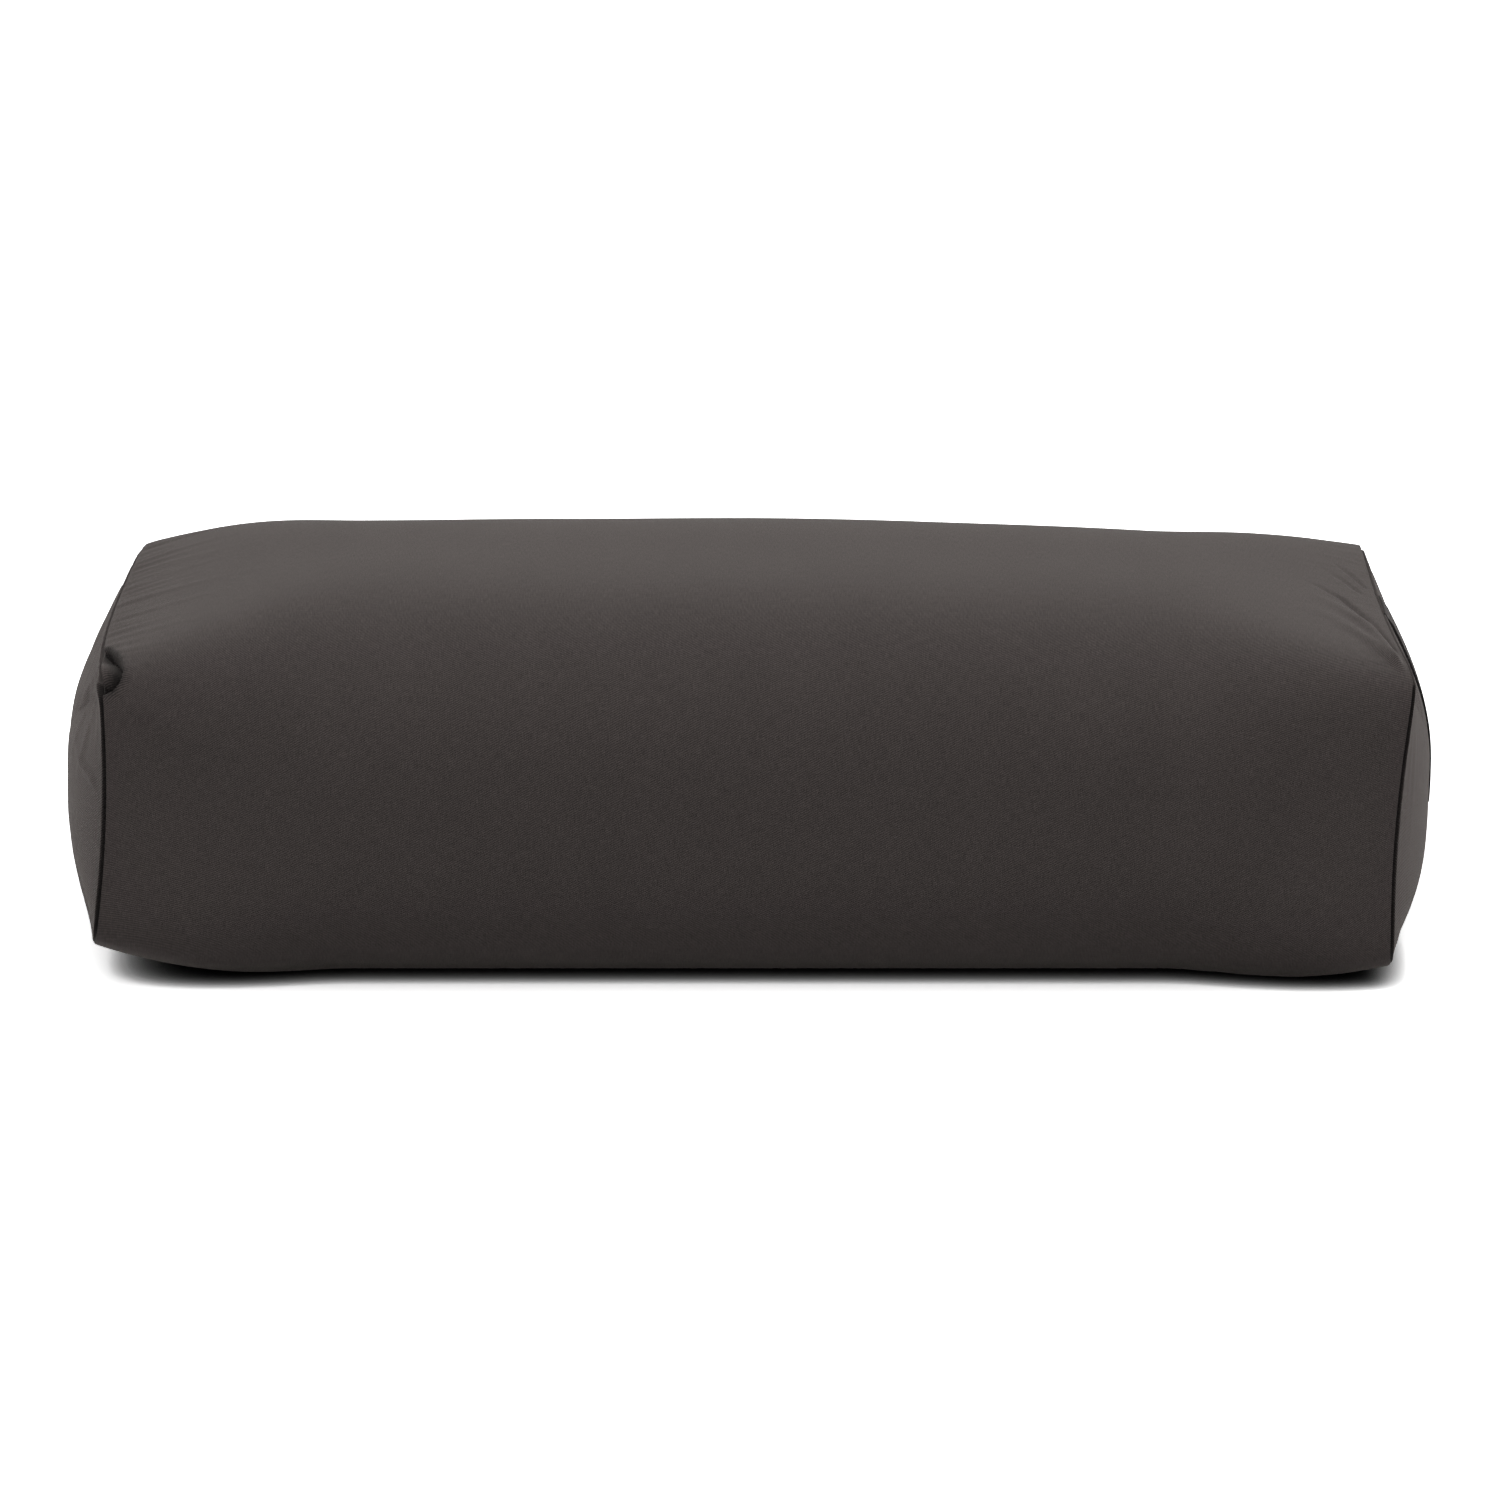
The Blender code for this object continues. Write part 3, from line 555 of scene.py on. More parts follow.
class Dome:
    """How an end panel stands out from its seam: across, top and foot say how steeply."""

    def __init__(self, end, bulge, sag, across, top, foot):
        self.end, self.bulge, self.sag = end, bulge, sag
        self.across, self.top, self.foot = across, top, foot

    def grid(self, across, up, depth=0.0, setback=0.0):
        """A grid over the panel, with the places in the panel and its nearest seam points."""
        end = self.end
        a, b = np.meshgrid(across, up)
        r = np.maximum(np.maximum(np.abs(a), np.abs(b)), TINY)
        ea, eb = a / r, b / r
        py, pz = superellipse(ea, eb, SEAM_SQUARENESS)
        stand = (1 - np.abs(a) ** self.across) * dome_profile(b, self.top, self.foot)
        x = end.x + (end.reach(ea, eb) - end.x) * r**2 - setback
        x += (self.bulge + setback - depth) * stand
        y = (SEAM_HALF_DEPTH - depth) * r * py
        z = LEVEL + r * (end.heights(pz, depth) - LEVEL) - self.sag * (1 - a * a) * (1 - b * b)
        return np.stack([end.side * x, y, z], axis=-1), a, b, ea, eb


LEFT_DOME = Dome(LEFT, bulge=0.0255, sag=0.0, across=2.7, top=(2.2, 1.25), foot=(3.0, 1.0))
RIGHT_DOME = Dome(RIGHT, bulge=0.0240, sag=0.006, across=2.15, top=(2.2, 1.15), foot=(5.5, 1.0))
TOP_PUCKERS = {"spacing": 0.0085, "length": 0.036, "height": 0.0011}
FOOT_PUCKERS = {"spacing": 0.010, "length": 0.020, "height": 0.0003}
SIDE_PUCKERS = {"spacing": 0.012, "length": 0.020, "height": 0.0003}
LEFT_END_FOLDS = (
    (((-0.132, 0.146), (-0.124, 0.128), (-0.112, 0.106), (-0.100, 0.084)), (0.0012, 0.0030), 0.0009),
    (((-0.124, 0.147), (-0.108, 0.132), (-0.092, 0.112), (-0.078, 0.090)), (0.0012, 0.0032), 0.0010),
    (((-0.116, 0.148), (-0.094, 0.136), (-0.074, 0.120), (-0.056, 0.100)), (0.0012, 0.0034), 0.0009),
    (((-0.144, 0.0960), (-0.129, 0.0995), (-0.102, 0.103), (-0.085, 0.110)), (0.0010, 0.0020), 0.0012),
)
PANEL_LOBE_AT = (-0.141, 0.148)
PANEL_LOBE_WIDTH = 0.0090
UNDER_LOOP_HALF_WIDTH = 0.029
UNDER_LOOP_FROM = -0.1
SHADE_OFF_AT_TOP = 0.04
PANEL_ALLOWANCE_STEPS = (0.0012, 0.0016, 0.0032)
PANEL_INWARDS, PANEL_BACKWARDS = 0.6, 0.8


def end_panel(name, dome, flat_middle):
    """The panel, and its grid of points; flat_middle smooths the strip where the loop lies."""
    end = dome.end
    across, up = spread(0.020, 0.0030, 0.12), spread(0.036, 0.0060, 0.25)
    grid, a, b, ea, eb = dome.grid(across, up)
    normal = grid_normals(grid, np.array([0.0, 0.0, LEVEL]))
    along_y, along_z = a * SEAM_HALF_DEPTH, b * HALF_LEVEL
    from_top, from_foot = (1 - b) * HALF_LEVEL, (1 + b) * HALF_LEVEL
    from_side = (1 - np.abs(a)) * SEAM_HALF_DEPTH
    edge = np.minimum(np.minimum(from_top, from_foot), from_side)
    raised = gathers(along_y, from_top, **TOP_PUCKERS)
    raised += gathers(along_y, from_foot, **FOOT_PUCKERS)
    raised += gathers(along_z, from_side, **SIDE_PUCKERS)
    if end is LEFT:
        for line, widths, height in LEFT_END_FOLDS:
            raised += fold(grid[..., 1], grid[..., 2], line, widths, height)
        lobe_y, lobe_z = PANEL_LOBE_AT
        from_lobe = np.hypot(grid[..., 1] - lobe_y, grid[..., 2] - lobe_z)
        raised += LOBE_HEIGHT * hill(from_lobe, PANEL_LOBE_WIDTH)
    raised *= 1 - hill(edge, SEAM_FLAT_WIDTH)
    under_loop = hill((along_y / UNDER_LOOP_HALF_WIDTH) ** 2, 1.0) * (b > UNDER_LOOP_FROM)
    raised *= 1 - flat_middle * under_loop
    grid = grid + normal * raised[..., None]
    sunk = end.sink(eb)
    grid = grid - end.radial(ea, eb) * (sunk * hill(edge, SEAM_PINCH))[..., None]
    grid[..., 0] -= end.side * sunk * turned(edge)
    made = grid_piece(name, grid, lambda i, j: (across[j] * SEAM_HALF_DEPTH, up[i] * HALF_LEVEL))
    # Painted shade: the colour is darkened along the seams, except along the top one.
    below_top = np.clip((1 - eb) / SHADE_OFF_AT_TOP, 0, 1)
    paint_shade(made, SEAM_SHADE * hill(edge, SEAM_SHADE_WIDTH) * below_top)

    def turned_in(step):
        def move(co):
            away = Vector((0.0, -co.y, (LEVEL - co.z) * 2)).normalized() * PANEL_INWARDS
            away.x = -end.side * PANEL_BACKWARDS
            return co + away * step

        return move

    extend_edges(made, lambda edge: True, [turned_in(step) for step in PANEL_ALLOWANCE_STEPS])
    return made, grid


cover_left, _ = end_panel("cover_end_left", LEFT_DOME, flat_middle=0.0)
cover_right, right_grid = end_panel("cover_end_right", RIGHT_DOME, flat_middle=1.0)


SHEEN_ROUGHNESS = 0.32
SHEEN_TINT = (0.85, 0.78, 0.72, 1.0)


class Surface:
    """A material whose pattern is worked out from the flat cloth's own coordinates."""

    def __init__(self, name, place="cloth"):
        self.material = bpy.data.materials.new(name)
        self.material.use_nodes = True
        self.tree = self.material.node_tree
        self.shader = self.tree.nodes["Principled BSDF"]
        split = self.tree.nodes.new("ShaderNodeSeparateXYZ")
        if place == "cloth":
            source = self.tree.nodes.new("ShaderNodeUVMap")
            source.uv_map = "cloth"
            self.tree.links.new(source.outputs["UV"], split.inputs[0])
        else:
            source = self.tree.nodes.new("ShaderNodeTexCoord")
            self.tree.links.new(source.outputs["Object"], split.inputs[0])
        self.u, self.v, self.w = split.outputs

    def maths(self, kind, *values):
        node = self.tree.nodes.new("ShaderNodeMath")
        node.operation = kind
        for socket, value in zip(node.inputs, values):
            if isinstance(value, (int, float)):
                socket.default_value = value
            else:
                self.tree.links.new(value, socket)
        return node.outputs[0]

    def noise(self, scales, detail, seed):
        """Noise with so many cells a metre along each coordinate."""
        stretched = self.tree.nodes.new("ShaderNodeCombineXYZ")
        for i, (place, scale) in enumerate(zip((self.u, self.v, self.w), scales)):
            self.tree.links.new(self.maths("MULTIPLY_ADD", place, scale, seed), stretched.inputs[i])
        node = self.tree.nodes.new("ShaderNodeTexNoise")
        node.inputs["Scale"].default_value = 1.0
        node.inputs["Detail"].default_value = detail
        self.tree.links.new(stretched.outputs[0], node.inputs["Vector"])
        return node.outputs["Fac"]

    def wave(self, phase):
        """A sine between 0 and 1."""
        return self.maths("MULTIPLY_ADD", self.maths("SINE", phase), 0.5, 0.5)

    def about_one(self, value, swing):
        """A value between 0 and 1 as a factor that swings about 1."""
        return self.maths("MULTIPLY_ADD", value, swing, 1 - swing / 2)

    def colour(self, share, dark, light):
        """Base colour from dark to light with a share between 0 and 1."""
        blend = self.tree.nodes.new("ShaderNodeMix")
        blend.data_type = "RGBA"
        blend.inputs["A"].default_value = (*dark, 1.0)
        blend.inputs["B"].default_value = (*light, 1.0)
        self.tree.links.new(share, blend.inputs["Factor"])
        self.tree.links.new(blend.outputs["Result"], self.shader.inputs["Base Color"])

    def relief(self, height, distance, strength):
        bump = self.tree.nodes.new("ShaderNodeBump")
        bump.inputs["Strength"].default_value = strength
        bump.inputs["Distance"].default_value = distance
        self.tree.links.new(height, bump.inputs["Height"])
        self.tree.links.new(bump.outputs["Normal"], self.shader.inputs["Normal"])

    def finish(self, roughness, specular, sheen=0.0):
        if isinstance(roughness, float):
            self.shader.inputs["Roughness"].default_value = roughness
        else:
            self.tree.links.new(roughness, self.shader.inputs["Roughness"])
        self.shader.inputs["Specular IOR Level"].default_value = specular
        self.shader.inputs["Sheen Weight"].default_value = sheen
        self.shader.inputs["Sheen Roughness"].default_value = SHEEN_ROUGHNESS
        self.shader.inputs["Sheen Tint"].default_value = SHEEN_TINT


WALE_TURNS_ROUND = 5470.0
WALE_TURNS_ALONG = 2950.0
THREAD_TURNS = 9600.0
WALE_WANDER = 2.2
YARN_DARK = (0.013, 0.0108, 0.0102)
YARN_LIGHT = (0.116, 0.0961, 0.0913)
PAINTED_SHADE_DARKENS = -1.2
TONE_START, TONE_GAIN = -0.40, 0.9


def twill_surface():
    """Charcoal cotton twill: wales about 1 mm apart over fine yarns, matt with a dusty bloom."""
    twill = Surface("charcoal_twill")
    wander = twill.noise((180.0, 180.0, 1.0), 2.0, 3.0)
    along = twill.maths("MULTIPLY", twill.u, WALE_TURNS_ALONG)
    phase = twill.maths("MULTIPLY_ADD", twill.v, WALE_TURNS_ROUND, along)
    wale = twill.wave(twill.maths("MULTIPLY_ADD", wander, WALE_WANDER, phase))
    thread = twill.wave(twill.maths("MULTIPLY", twill.u, THREAD_TURNS))
    yarn_up = twill.noise((2600.0, 160.0, 1.0), 3.0, 11.0)
    yarn_along = twill.noise((140.0, 2400.0, 1.0), 3.0, 23.0)
    patches = twill.noise((26.0, 14.0, 1.0), 4.0, 31.0)
    lint = twill.noise((900.0, 900.0, 1.0), 4.0, 47.0)
    tone = twill.about_one(wale, 0.52)
    for value, swing in ((yarn_up, 0.75), (yarn_along, 0.52), (patches, 0.15), (lint, 0.45)):
        tone = twill.maths("MULTIPLY", tone, twill.about_one(value, swing))
    # Painted shade: the pieces' shade attribute darkens the colour in creases and along seams.
    crease_and_painted_shade = twill.tree.nodes.new("ShaderNodeAttribute")
    crease_and_painted_shade.attribute_name = "crease_and_painted_shade"
    share = twill.maths("MULTIPLY_ADD", crease_and_painted_shade.outputs["Fac"], PAINTED_SHADE_DARKENS, TONE_START)
    share = twill.maths("MULTIPLY_ADD", tone, TONE_GAIN, share)
    twill.colour(share, YARN_DARK, YARN_LIGHT)
    height = twill.maths("MULTIPLY_ADD", thread, 0.25, twill.maths("MULTIPLY", wale, 0.75))
    twill.relief(twill.maths("MULTIPLY_ADD", yarn_up, 0.5, height), 0.00035, 0.5)
    twill.finish(twill.maths("MULTIPLY_ADD", lint, 0.14, 0.82), specular=0.22, sheen=0.20)
    return twill.material


twill = twill_surface()
for piece, node in (
    (cover_wrap, "cover_wrap_panel"),
    (cover_left, "cover_end_panel_left"),
    (cover_right, "cover_end_panel_right"),
):
    piece.data.materials.append(twill)
    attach(piece, "bolster")
    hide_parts(node)

# Carrying loop: one length of charcoal cotton tape, folded in two and caught in the top seam of
# the right end. It hangs flat against the panel and bends sharply where it is folded.
TAPE_HALF_WIDTH = 0.019
TAPE_THICKNESS = 0.0008
TAPE_THINNING = 0.08
PLY_GAP = 0.00002
TAPE_DROOP = 0.0004
TAPE_POINTS = 15
LOOP_STEP = 0.0016
LOOP_INSIDE = 0.003
LOOP_LIFT = 0.006
LIFT_AT_SEAM = 0.2
LOOP_FOLD_SPACE = 0.002
FOLD_START = 0.0006
FOLD_REACH = 0.0011
FOLD_POINTS = 7
INTO_SEAM = np.array([-0.6, 0.0, -0.8])
SMOOTHING_POINTS = 3
loop_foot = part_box("carry_loop")[0][2]


def loop_path():
    """The tape's middle line in the plane y = 0, down along the panel and up again."""
    near = np.abs(right_grid[..., 1]) <= TAPE_HALF_WIDTH + 0.001
    reach = np.where(near, right_grid[..., 0], -1.0).max(axis=1)
    height = np.where(near, right_grid[..., 2], 0.0).sum(axis=1) / near.sum(axis=1)
    order = np.argsort(-height)
    reach, height = reach[order], height[order]
    top = height[0]
    drop = np.arange(0.0, top - loop_foot - LOOP_FOLD_SPACE, LOOP_STEP)
    x = np.interp(-(top - drop), -height, reach)
    kernel = np.hanning(2 * SMOOTHING_POINTS + 1)
    before = np.full(SMOOTHING_POINTS, x[0])
    after = x[-1] + (x[-1] - x[-2]) * np.arange(1, SMOOTHING_POINTS + 1)
    x = np.convolve(np.concatenate([before, x, after]), kernel / kernel.sum(), mode="valid")
    line = np.stack([x, np.zeros_like(x), top - drop], axis=-1)
    run = np.gradient(line, axis=0)
    out = np.stack([-run[:, 2], np.zeros_like(x), run[:, 0]], axis=-1)
    out /= np.linalg.norm(out, axis=1, keepdims=True)
    lifted = np.clip(drop / LOOP_LIFT, LIFT_AT_SEAM, 1.0)[:, None]
    inner = line + out * lifted * TAPE_THICKNESS / 2
    outer = inner + out * lifted * (TAPE_THICKNESS + PLY_GAP)
    down = -np.cross(out[-1], np.array([0.0, 1.0, 0.0]))
    down *= -np.sign(down[2])
    bend = (inner[-1] + outer[-1]) / 2
    half = (TAPE_THICKNESS + PLY_GAP) / 2
    turn = [
        bend + down * (FOLD_START + FOLD_REACH * math.sin(angle)) - out[-1] * half * math.cos(angle)
        for angle in np.linspace(0.0, math.pi, FOLD_POINTS)
    ]
    inside = INTO_SEAM * LOOP_INSIDE
    return np.concatenate([[inner[0] + inside], inner, turn, outer[::-1], [outer[0] + inside]])


def tape_along(path):
    """Rings of points of a woven tape whose middle line follows a path, its edges bent inwards."""
    run = np.gradient(path, axis=0)
    run /= np.linalg.norm(run, axis=1, keepdims=True)
    across = np.linspace(-1.0, 1.0, TAPE_POINTS)
    side = np.array([0.0, 1.0, 0.0])
    rings = []
    bent = [-TAPE_DROOP * across**2, TAPE_HALF_WIDTH * across, np.zeros(TAPE_POINTS)]
    bent = np.stack(bent, axis=-1)
    half = TAPE_THICKNESS / 2 * (1 - TAPE_THINNING * across**4)
    for point, along in zip(path, run):
        out = np.cross(side, along)
        front = [point + offset + out * h for offset, h in zip(bent, half)]
        back = [point + offset - out * h for offset, h in zip(bent, half)]
        rings.append(front + back[::-1])
    return np.array(rings)


path = loop_path()
walked = np.concatenate([[0.0], np.cumsum(np.linalg.norm(np.diff(path, axis=0), axis=1))])
tape_v = np.linspace(-TAPE_HALF_WIDTH, TAPE_HALF_WIDTH, TAPE_POINTS)
tape_v = np.concatenate([tape_v, tape_v[::-1], tape_v[:1]])
loop = grid_piece("loop_tape", tape_along(path), lambda i, j: (walked[i], tape_v[j]), closed=True)


HERRINGBONE_WIDTH = 0.00475
RIB_TURNS = 4200.0
EDGE_SHADE_WIDTH = 0.001


def webbing_surface():
    """Cotton tape woven in a herringbone of narrow ribs, with a narrow band along each edge painted
    dark as shade.
    """
    webbing = Surface("charcoal_tape")
    mirrored = webbing.maths("PINGPONG", webbing.v, HERRINGBONE_WIDTH)
    along = webbing.maths("MULTIPLY", webbing.u, RIB_TURNS)
    rib = webbing.wave(webbing.maths("MULTIPLY_ADD", mirrored, RIB_TURNS, along))
    weft = webbing.wave(webbing.maths("MULTIPLY", webbing.u, 2 * RIB_TURNS))
    lint = webbing.noise((700.0, 700.0, 1.0), 4.0, 5.0)
    tone = webbing.maths("MULTIPLY", webbing.about_one(rib, 0.36), webbing.about_one(lint, 0.3))
    # Painted shade: a band 1 mm wide along each edge of the tape is darker, for the shade at its
    # sides.
    off_middle = webbing.maths("ABSOLUTE", webbing.v)
    painted_edge_shade = webbing.maths("GREATER_THAN", off_middle, TAPE_HALF_WIDTH - EDGE_SHADE_WIDTH)
    share = webbing.maths("MULTIPLY_ADD", painted_edge_shade, -0.5, -0.42)
    share = webbing.maths("MULTIPLY_ADD", tone, 0.9, share)
    webbing.colour(share, (0.014, 0.012, 0.0115), (0.082, 0.069, 0.066))
    webbing.relief(webbing.maths("MULTIPLY_ADD", weft, 0.3, rib), 0.0003, 0.6)
    webbing.finish(0.86, specular=0.25, sheen=0.08)
    return webbing.material


loop.data.materials.append(webbing_surface())
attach(loop, "loop")
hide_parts("carry_loop")

# Zip tapes: two black woven tapes with a cord in their inner edge, sewn in behind the edges of
# the opening. Their ends lie flat behind the long panel.
CORD_MIDDLE = 0.0022
CORD_HALF = 0.00075
CORD_HEIGHT = 0.0009
CORD_ENDS_AT = 0.25
CORD_TO_FLAT = 0.0011
TAPE_HALF = 0.0003
TAPE_EDGE = 0.0002
TAPE_STEP = 0.0016
tape_outer = tape_high.z - zip_level


def tape_section():
    """Places out from the middle of the chain and heights out of the tape, all the way round."""
    angles = np.linspace(math.pi, CORD_ENDS_AT, 9)
    front = [(CORD_MIDDLE + CORD_HALF * math.cos(a), CORD_HEIGHT * math.sin(a)) for a in angles]
    flat = np.linspace(CORD_MIDDLE + CORD_TO_FLAT, tape_outer - TAPE_EDGE, 8)
    front += [(place, TAPE_HALF) for place in flat]
    front.append((tape_outer, 0.0))
    back = [(place, -height) for place, height in reversed(front[1:-1])]
    return front + back


def zip_tape(name, side, node):
    section = tape_section()
    xs = np.linspace(-tape_high.x, tape_high.x, int(2 * tape_high.x / TAPE_STEP) + 1)
    rings = [[(x, zip_y + height, zip_level + side * place) for place, height in section] for x in xs]
    turn = len(section) // 2
    girth = [place + tape_outer * (k > turn) for k, (place, _) in enumerate(section)]
    made = grid_piece(name, np.array(rings), lambda i, j: (xs[i], girth[j % len(girth)]), closed=True)
    made.data.materials.append(tape_cloth)
    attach(made, "bolster")
    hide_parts(node)


def tape_surface():
    """Black polyester tape, woven in fine ribs across its width."""
    tape = Surface("black_zip_tape")
    rib = tape.wave(tape.maths("MULTIPLY", tape.u, 9000.0))
    warp = tape.wave(tape.maths("MULTIPLY", tape.v, 7000.0))
    lint = tape.noise((1200.0, 1200.0, 1.0), 3.0, 9.0)
    tone = tape.maths("MULTIPLY", tape.about_one(rib, 0.4), tape.about_one(warp, 0.3))
    tone = tape.maths("MULTIPLY", tone, tape.about_one(lint, 0.3))
    share = tape.maths("MULTIPLY_ADD", tone, 0.8, -0.3)
    tape.colour(share, (0.011, 0.011, 0.012), (0.034, 0.034, 0.036))
    tape.relief(tape.maths("MULTIPLY_ADD", warp, 0.5, rib), 0.00018, 0.6)
    tape.finish(0.72, specular=0.35)
    return tape.material


tape_cloth = tape_surface()
zip_tape("zip_cloth_upper", 1, "zip_tape_upper")
zip_tape("zip_cloth_lower", -1, "zip_tape_lower")

# Zip teeth: moulded in black nylon on each tape's cord, 3.2 mm apart. Each has a block that
# grips the cord, a narrow neck and a head, and the heads of one row fill the gaps of the other.
# The last ones, which the slider's wedge holds apart, show their blocks only.
TOOTH_PITCH = 0.0032
TOOTH_HALF = 0.0010
TOOTH_CHAMFER = 0.00022
TOOTH_SIDE = (
    (0.00070, 0.00325),
    (0.00100, 0.00300),
    (0.00100, 0.00150),
    (0.00070, 0.00120),
    (0.00042, 0.00085),
    (0.00042, 0.00025),
    (0.00068, -0.00020),
    (0.00084, -0.00060),
    (0.00076, -0.00088),
    (0.00042, -0.00100),
)
POST_SIDE = (*TOOTH_SIDE[:3], (0.00080, 0.00130))
STOP_GAP = 0.0003
bottom_stop_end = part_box("zip_bottom_stop")[1][0]
top_stop_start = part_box("zip_top_stop_upper")[0][0]
slider_middle = (slider_low.x + slider_high.x) / 2


def tooth_rings(half_outline):
    """A tooth's outline in four layers, the outer two drawn in by the chamfer."""
    outline = [Vector((x, z)) for x, z in half_outline]
    outline += [Vector((-x, z)) for x, z in reversed(half_outline)]
    count = len(outline)
    drawn_in = []
    for i, point in enumerate(outline):
        before = (point - outline[i - 1]).normalized()
        after = (outline[(i + 1) % count] - point).normalized()
        normal = Vector((before.y + after.y, -before.x - after.x)).normalized()
        drawn_in.append(point + normal * TOOTH_CHAMFER)
    layers = ((TOOTH_HALF, drawn_in), (TOOTH_HALF - TOOTH_CHAMFER, outline))
    return [(h, ring) for h, ring in layers] + [(-h, ring) for h, ring in reversed(layers)]


def close_rings(work, rings):
    """A solid with faces from each ring of points to the next and a cap at both ends."""
    rows = [[work.verts.new(point) for point in ring] for ring in rings]
    work.faces.new(rows[0])
    work.faces.new(rows[-1])
    for low, high in zip(rows, rows[1:]):
        for k in range(len(low)):
            n = (k + 1) % len(low)
            work.faces.new((low[k], low[n], high[n], high[k]))


def put_down(work, name):
    """A new object made of the solids that were worked on."""
    bmesh.ops.recalc_face_normals(work, faces=work.faces)
    mesh = bpy.data.meshes.new(name)
    work.to_mesh(mesh)
    work.free()
    made = bpy.data.objects.new(name, mesh)
    bpy.context.scene.collection.objects.link(made)
    return made


def teeth(name, side, phase, node):
    first = bottom_stop_end + STOP_GAP + TOOTH_PITCH * phase
    count = int((top_stop_start - STOP_GAP - TOOTH_HALF - first) / TOOTH_PITCH) + 1
    whole, post = tooth_rings(TOOTH_SIDE), tooth_rings(POST_SIDE)
    work = bmesh.new()
    for i in range(count):
        x = first + i * TOOTH_PITCH
        layers = whole if x <= slider_middle - TOOTH_PITCH / 2 else post
        close_rings(
            work,
            [[(x + p.x, zip_y + h, zip_level + side * p.y) for p in ring] for h, ring in layers],
        )
    made = put_down(work, name)
    made.data.materials.append(nylon)
    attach(made, "bolster")
    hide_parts(node)


def nylon_surface():
    """Black moulded nylon, half glossy."""
    moulded = Surface("black_nylon", place="object")
    haze = moulded.noise((900.0, 900.0, 900.0), 3.0, 2.0)
    moulded.colour(haze, (0.014, 0.014, 0.015), (0.026, 0.026, 0.028))
    moulded.finish(moulded.maths("MULTIPLY_ADD", haze, 0.16, 0.30), specular=0.5)
    return moulded.material


nylon = nylon_surface()
teeth("zip_teeth_upper", 1, 1.0, "zip_tape_upper")
teeth("zip_teeth_lower", -1, 0.5, "zip_tape_lower")

# Stops, slider and pull: zinc, die-cast or stamped and painted satin black. The slider holds
# both rows between its plates and runs along them, and the pull turns over on its bridge.
EDGE_ROUND = 0.00012
EDGE_FROM = math.radians(30)
METAL_NODES = (
    "zip_top_stop_upper",
    "zip_top_stop_lower",
    "zip_bottom_stop",
    "zip_slider",
    "zip_pull_tab",
)


def painted_surface():
    """Thin satin black paint that keeps a fine grain of the metal."""
    paint = Surface("black_painted_zinc", place="object")
    haze = paint.noise((700.0, 700.0, 700.0), 4.0, 4.0)
    specks = paint.noise((5200.0, 5200.0, 5200.0), 2.0, 6.0)
    paint.colour(haze, (0.018, 0.018, 0.020), (0.034, 0.034, 0.036))
    paint.relief(specks, 0.00004, 0.35)
    paint.finish(paint.maths("MULTIPLY_ADD", haze, 0.2, 0.24), specular=0.5)
    paint.shader.inputs["Coat Weight"].default_value = 0.25
    paint.shader.inputs["Coat Roughness"].default_value = 0.2
    return paint.material


zinc = painted_surface()
for node in METAL_NODES:
    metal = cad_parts[node]
    metal.data.materials.clear()
    metal.data.materials.append(zinc)
    rounding = metal.modifiers.new("rounded edges", "BEVEL")
    rounding.width = EDGE_ROUND
    rounding.segments = 2
    rounding.limit_method = "ANGLE"
    rounding.angle_limit = EDGE_FROM
    rounding.harden_normals = True

# Zip stitching: a row of lockstitch in charcoal thread down each side of the opening, which
# holds the folded edge of the long panel to the tape behind it.
STITCH_LENGTH = 0.0027
STITCH_GAP = 0.0006
STITCH_HALF = 0.00025
STITCH_FROM_SLOT = 0.0024
STITCH_SIDES = 6
STITCH_SHARES = (0.0, 0.12, 0.35, 0.65, 0.88, 1.0)
STITCH_PROUD, STITCH_DIVE = 1.1, 2.6
STITCH_TAPER = 0.45
BEHIND = 0.3
surface = BVHTree.FromObject(cover_wrap, bpy.context.evaluated_depsgraph_get())


def stitch_row(work, z):
    place = -slot_reach
    while place + STITCH_LENGTH < slot_reach:
        rings = []
        for share in STITCH_SHARES:
            x = place + STITCH_LENGTH * share
            hit = surface.ray_cast(Vector((x, BEHIND, z)), Vector((0.0, -1.0, 0.0)))[0]
            proud = STITCH_HALF * (STITCH_PROUD - STITCH_DIVE * (2 * share - 1) ** 6)
            wide = STITCH_HALF * (1.0 - STITCH_TAPER * (2 * share - 1) ** 4)
            turns = np.linspace(0.0, 2 * math.pi, STITCH_SIDES, endpoint=False)
            ring = [(proud + wide * math.cos(turn), wide * math.sin(turn)) for turn in turns]
            rings.append([(x, hit.y + out_y, z + out_z) for out_y, out_z in ring])
        close_rings(work, rings)
        place += STITCH_LENGTH + STITCH_GAP


work = bmesh.new()
for side in (-1, 1):
    stitch_row(work, zip_level + side * (SLOT_HALF_WIDTH + STITCH_FROM_SLOT))
stitching = put_down(work, "zip_stitching")
stitching.data.shade_smooth()
PLY_TURNS = 14000.0


def thread_surface():
    """Charcoal sewing thread, whose plies twist across it."""
    thread = Surface("charcoal_thread", place="object")
    upwards = thread.maths("MULTIPLY", thread.w, PLY_TURNS)
    ply = thread.wave(thread.maths("MULTIPLY_ADD", thread.u, PLY_TURNS, upwards))
    thread.colour(ply, (0.060, 0.052, 0.049), (0.150, 0.134, 0.126))
    thread.finish(0.62, specular=0.35)
    return thread.material


stitching.data.materials.append(thread_surface())
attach(stitching, "bolster")

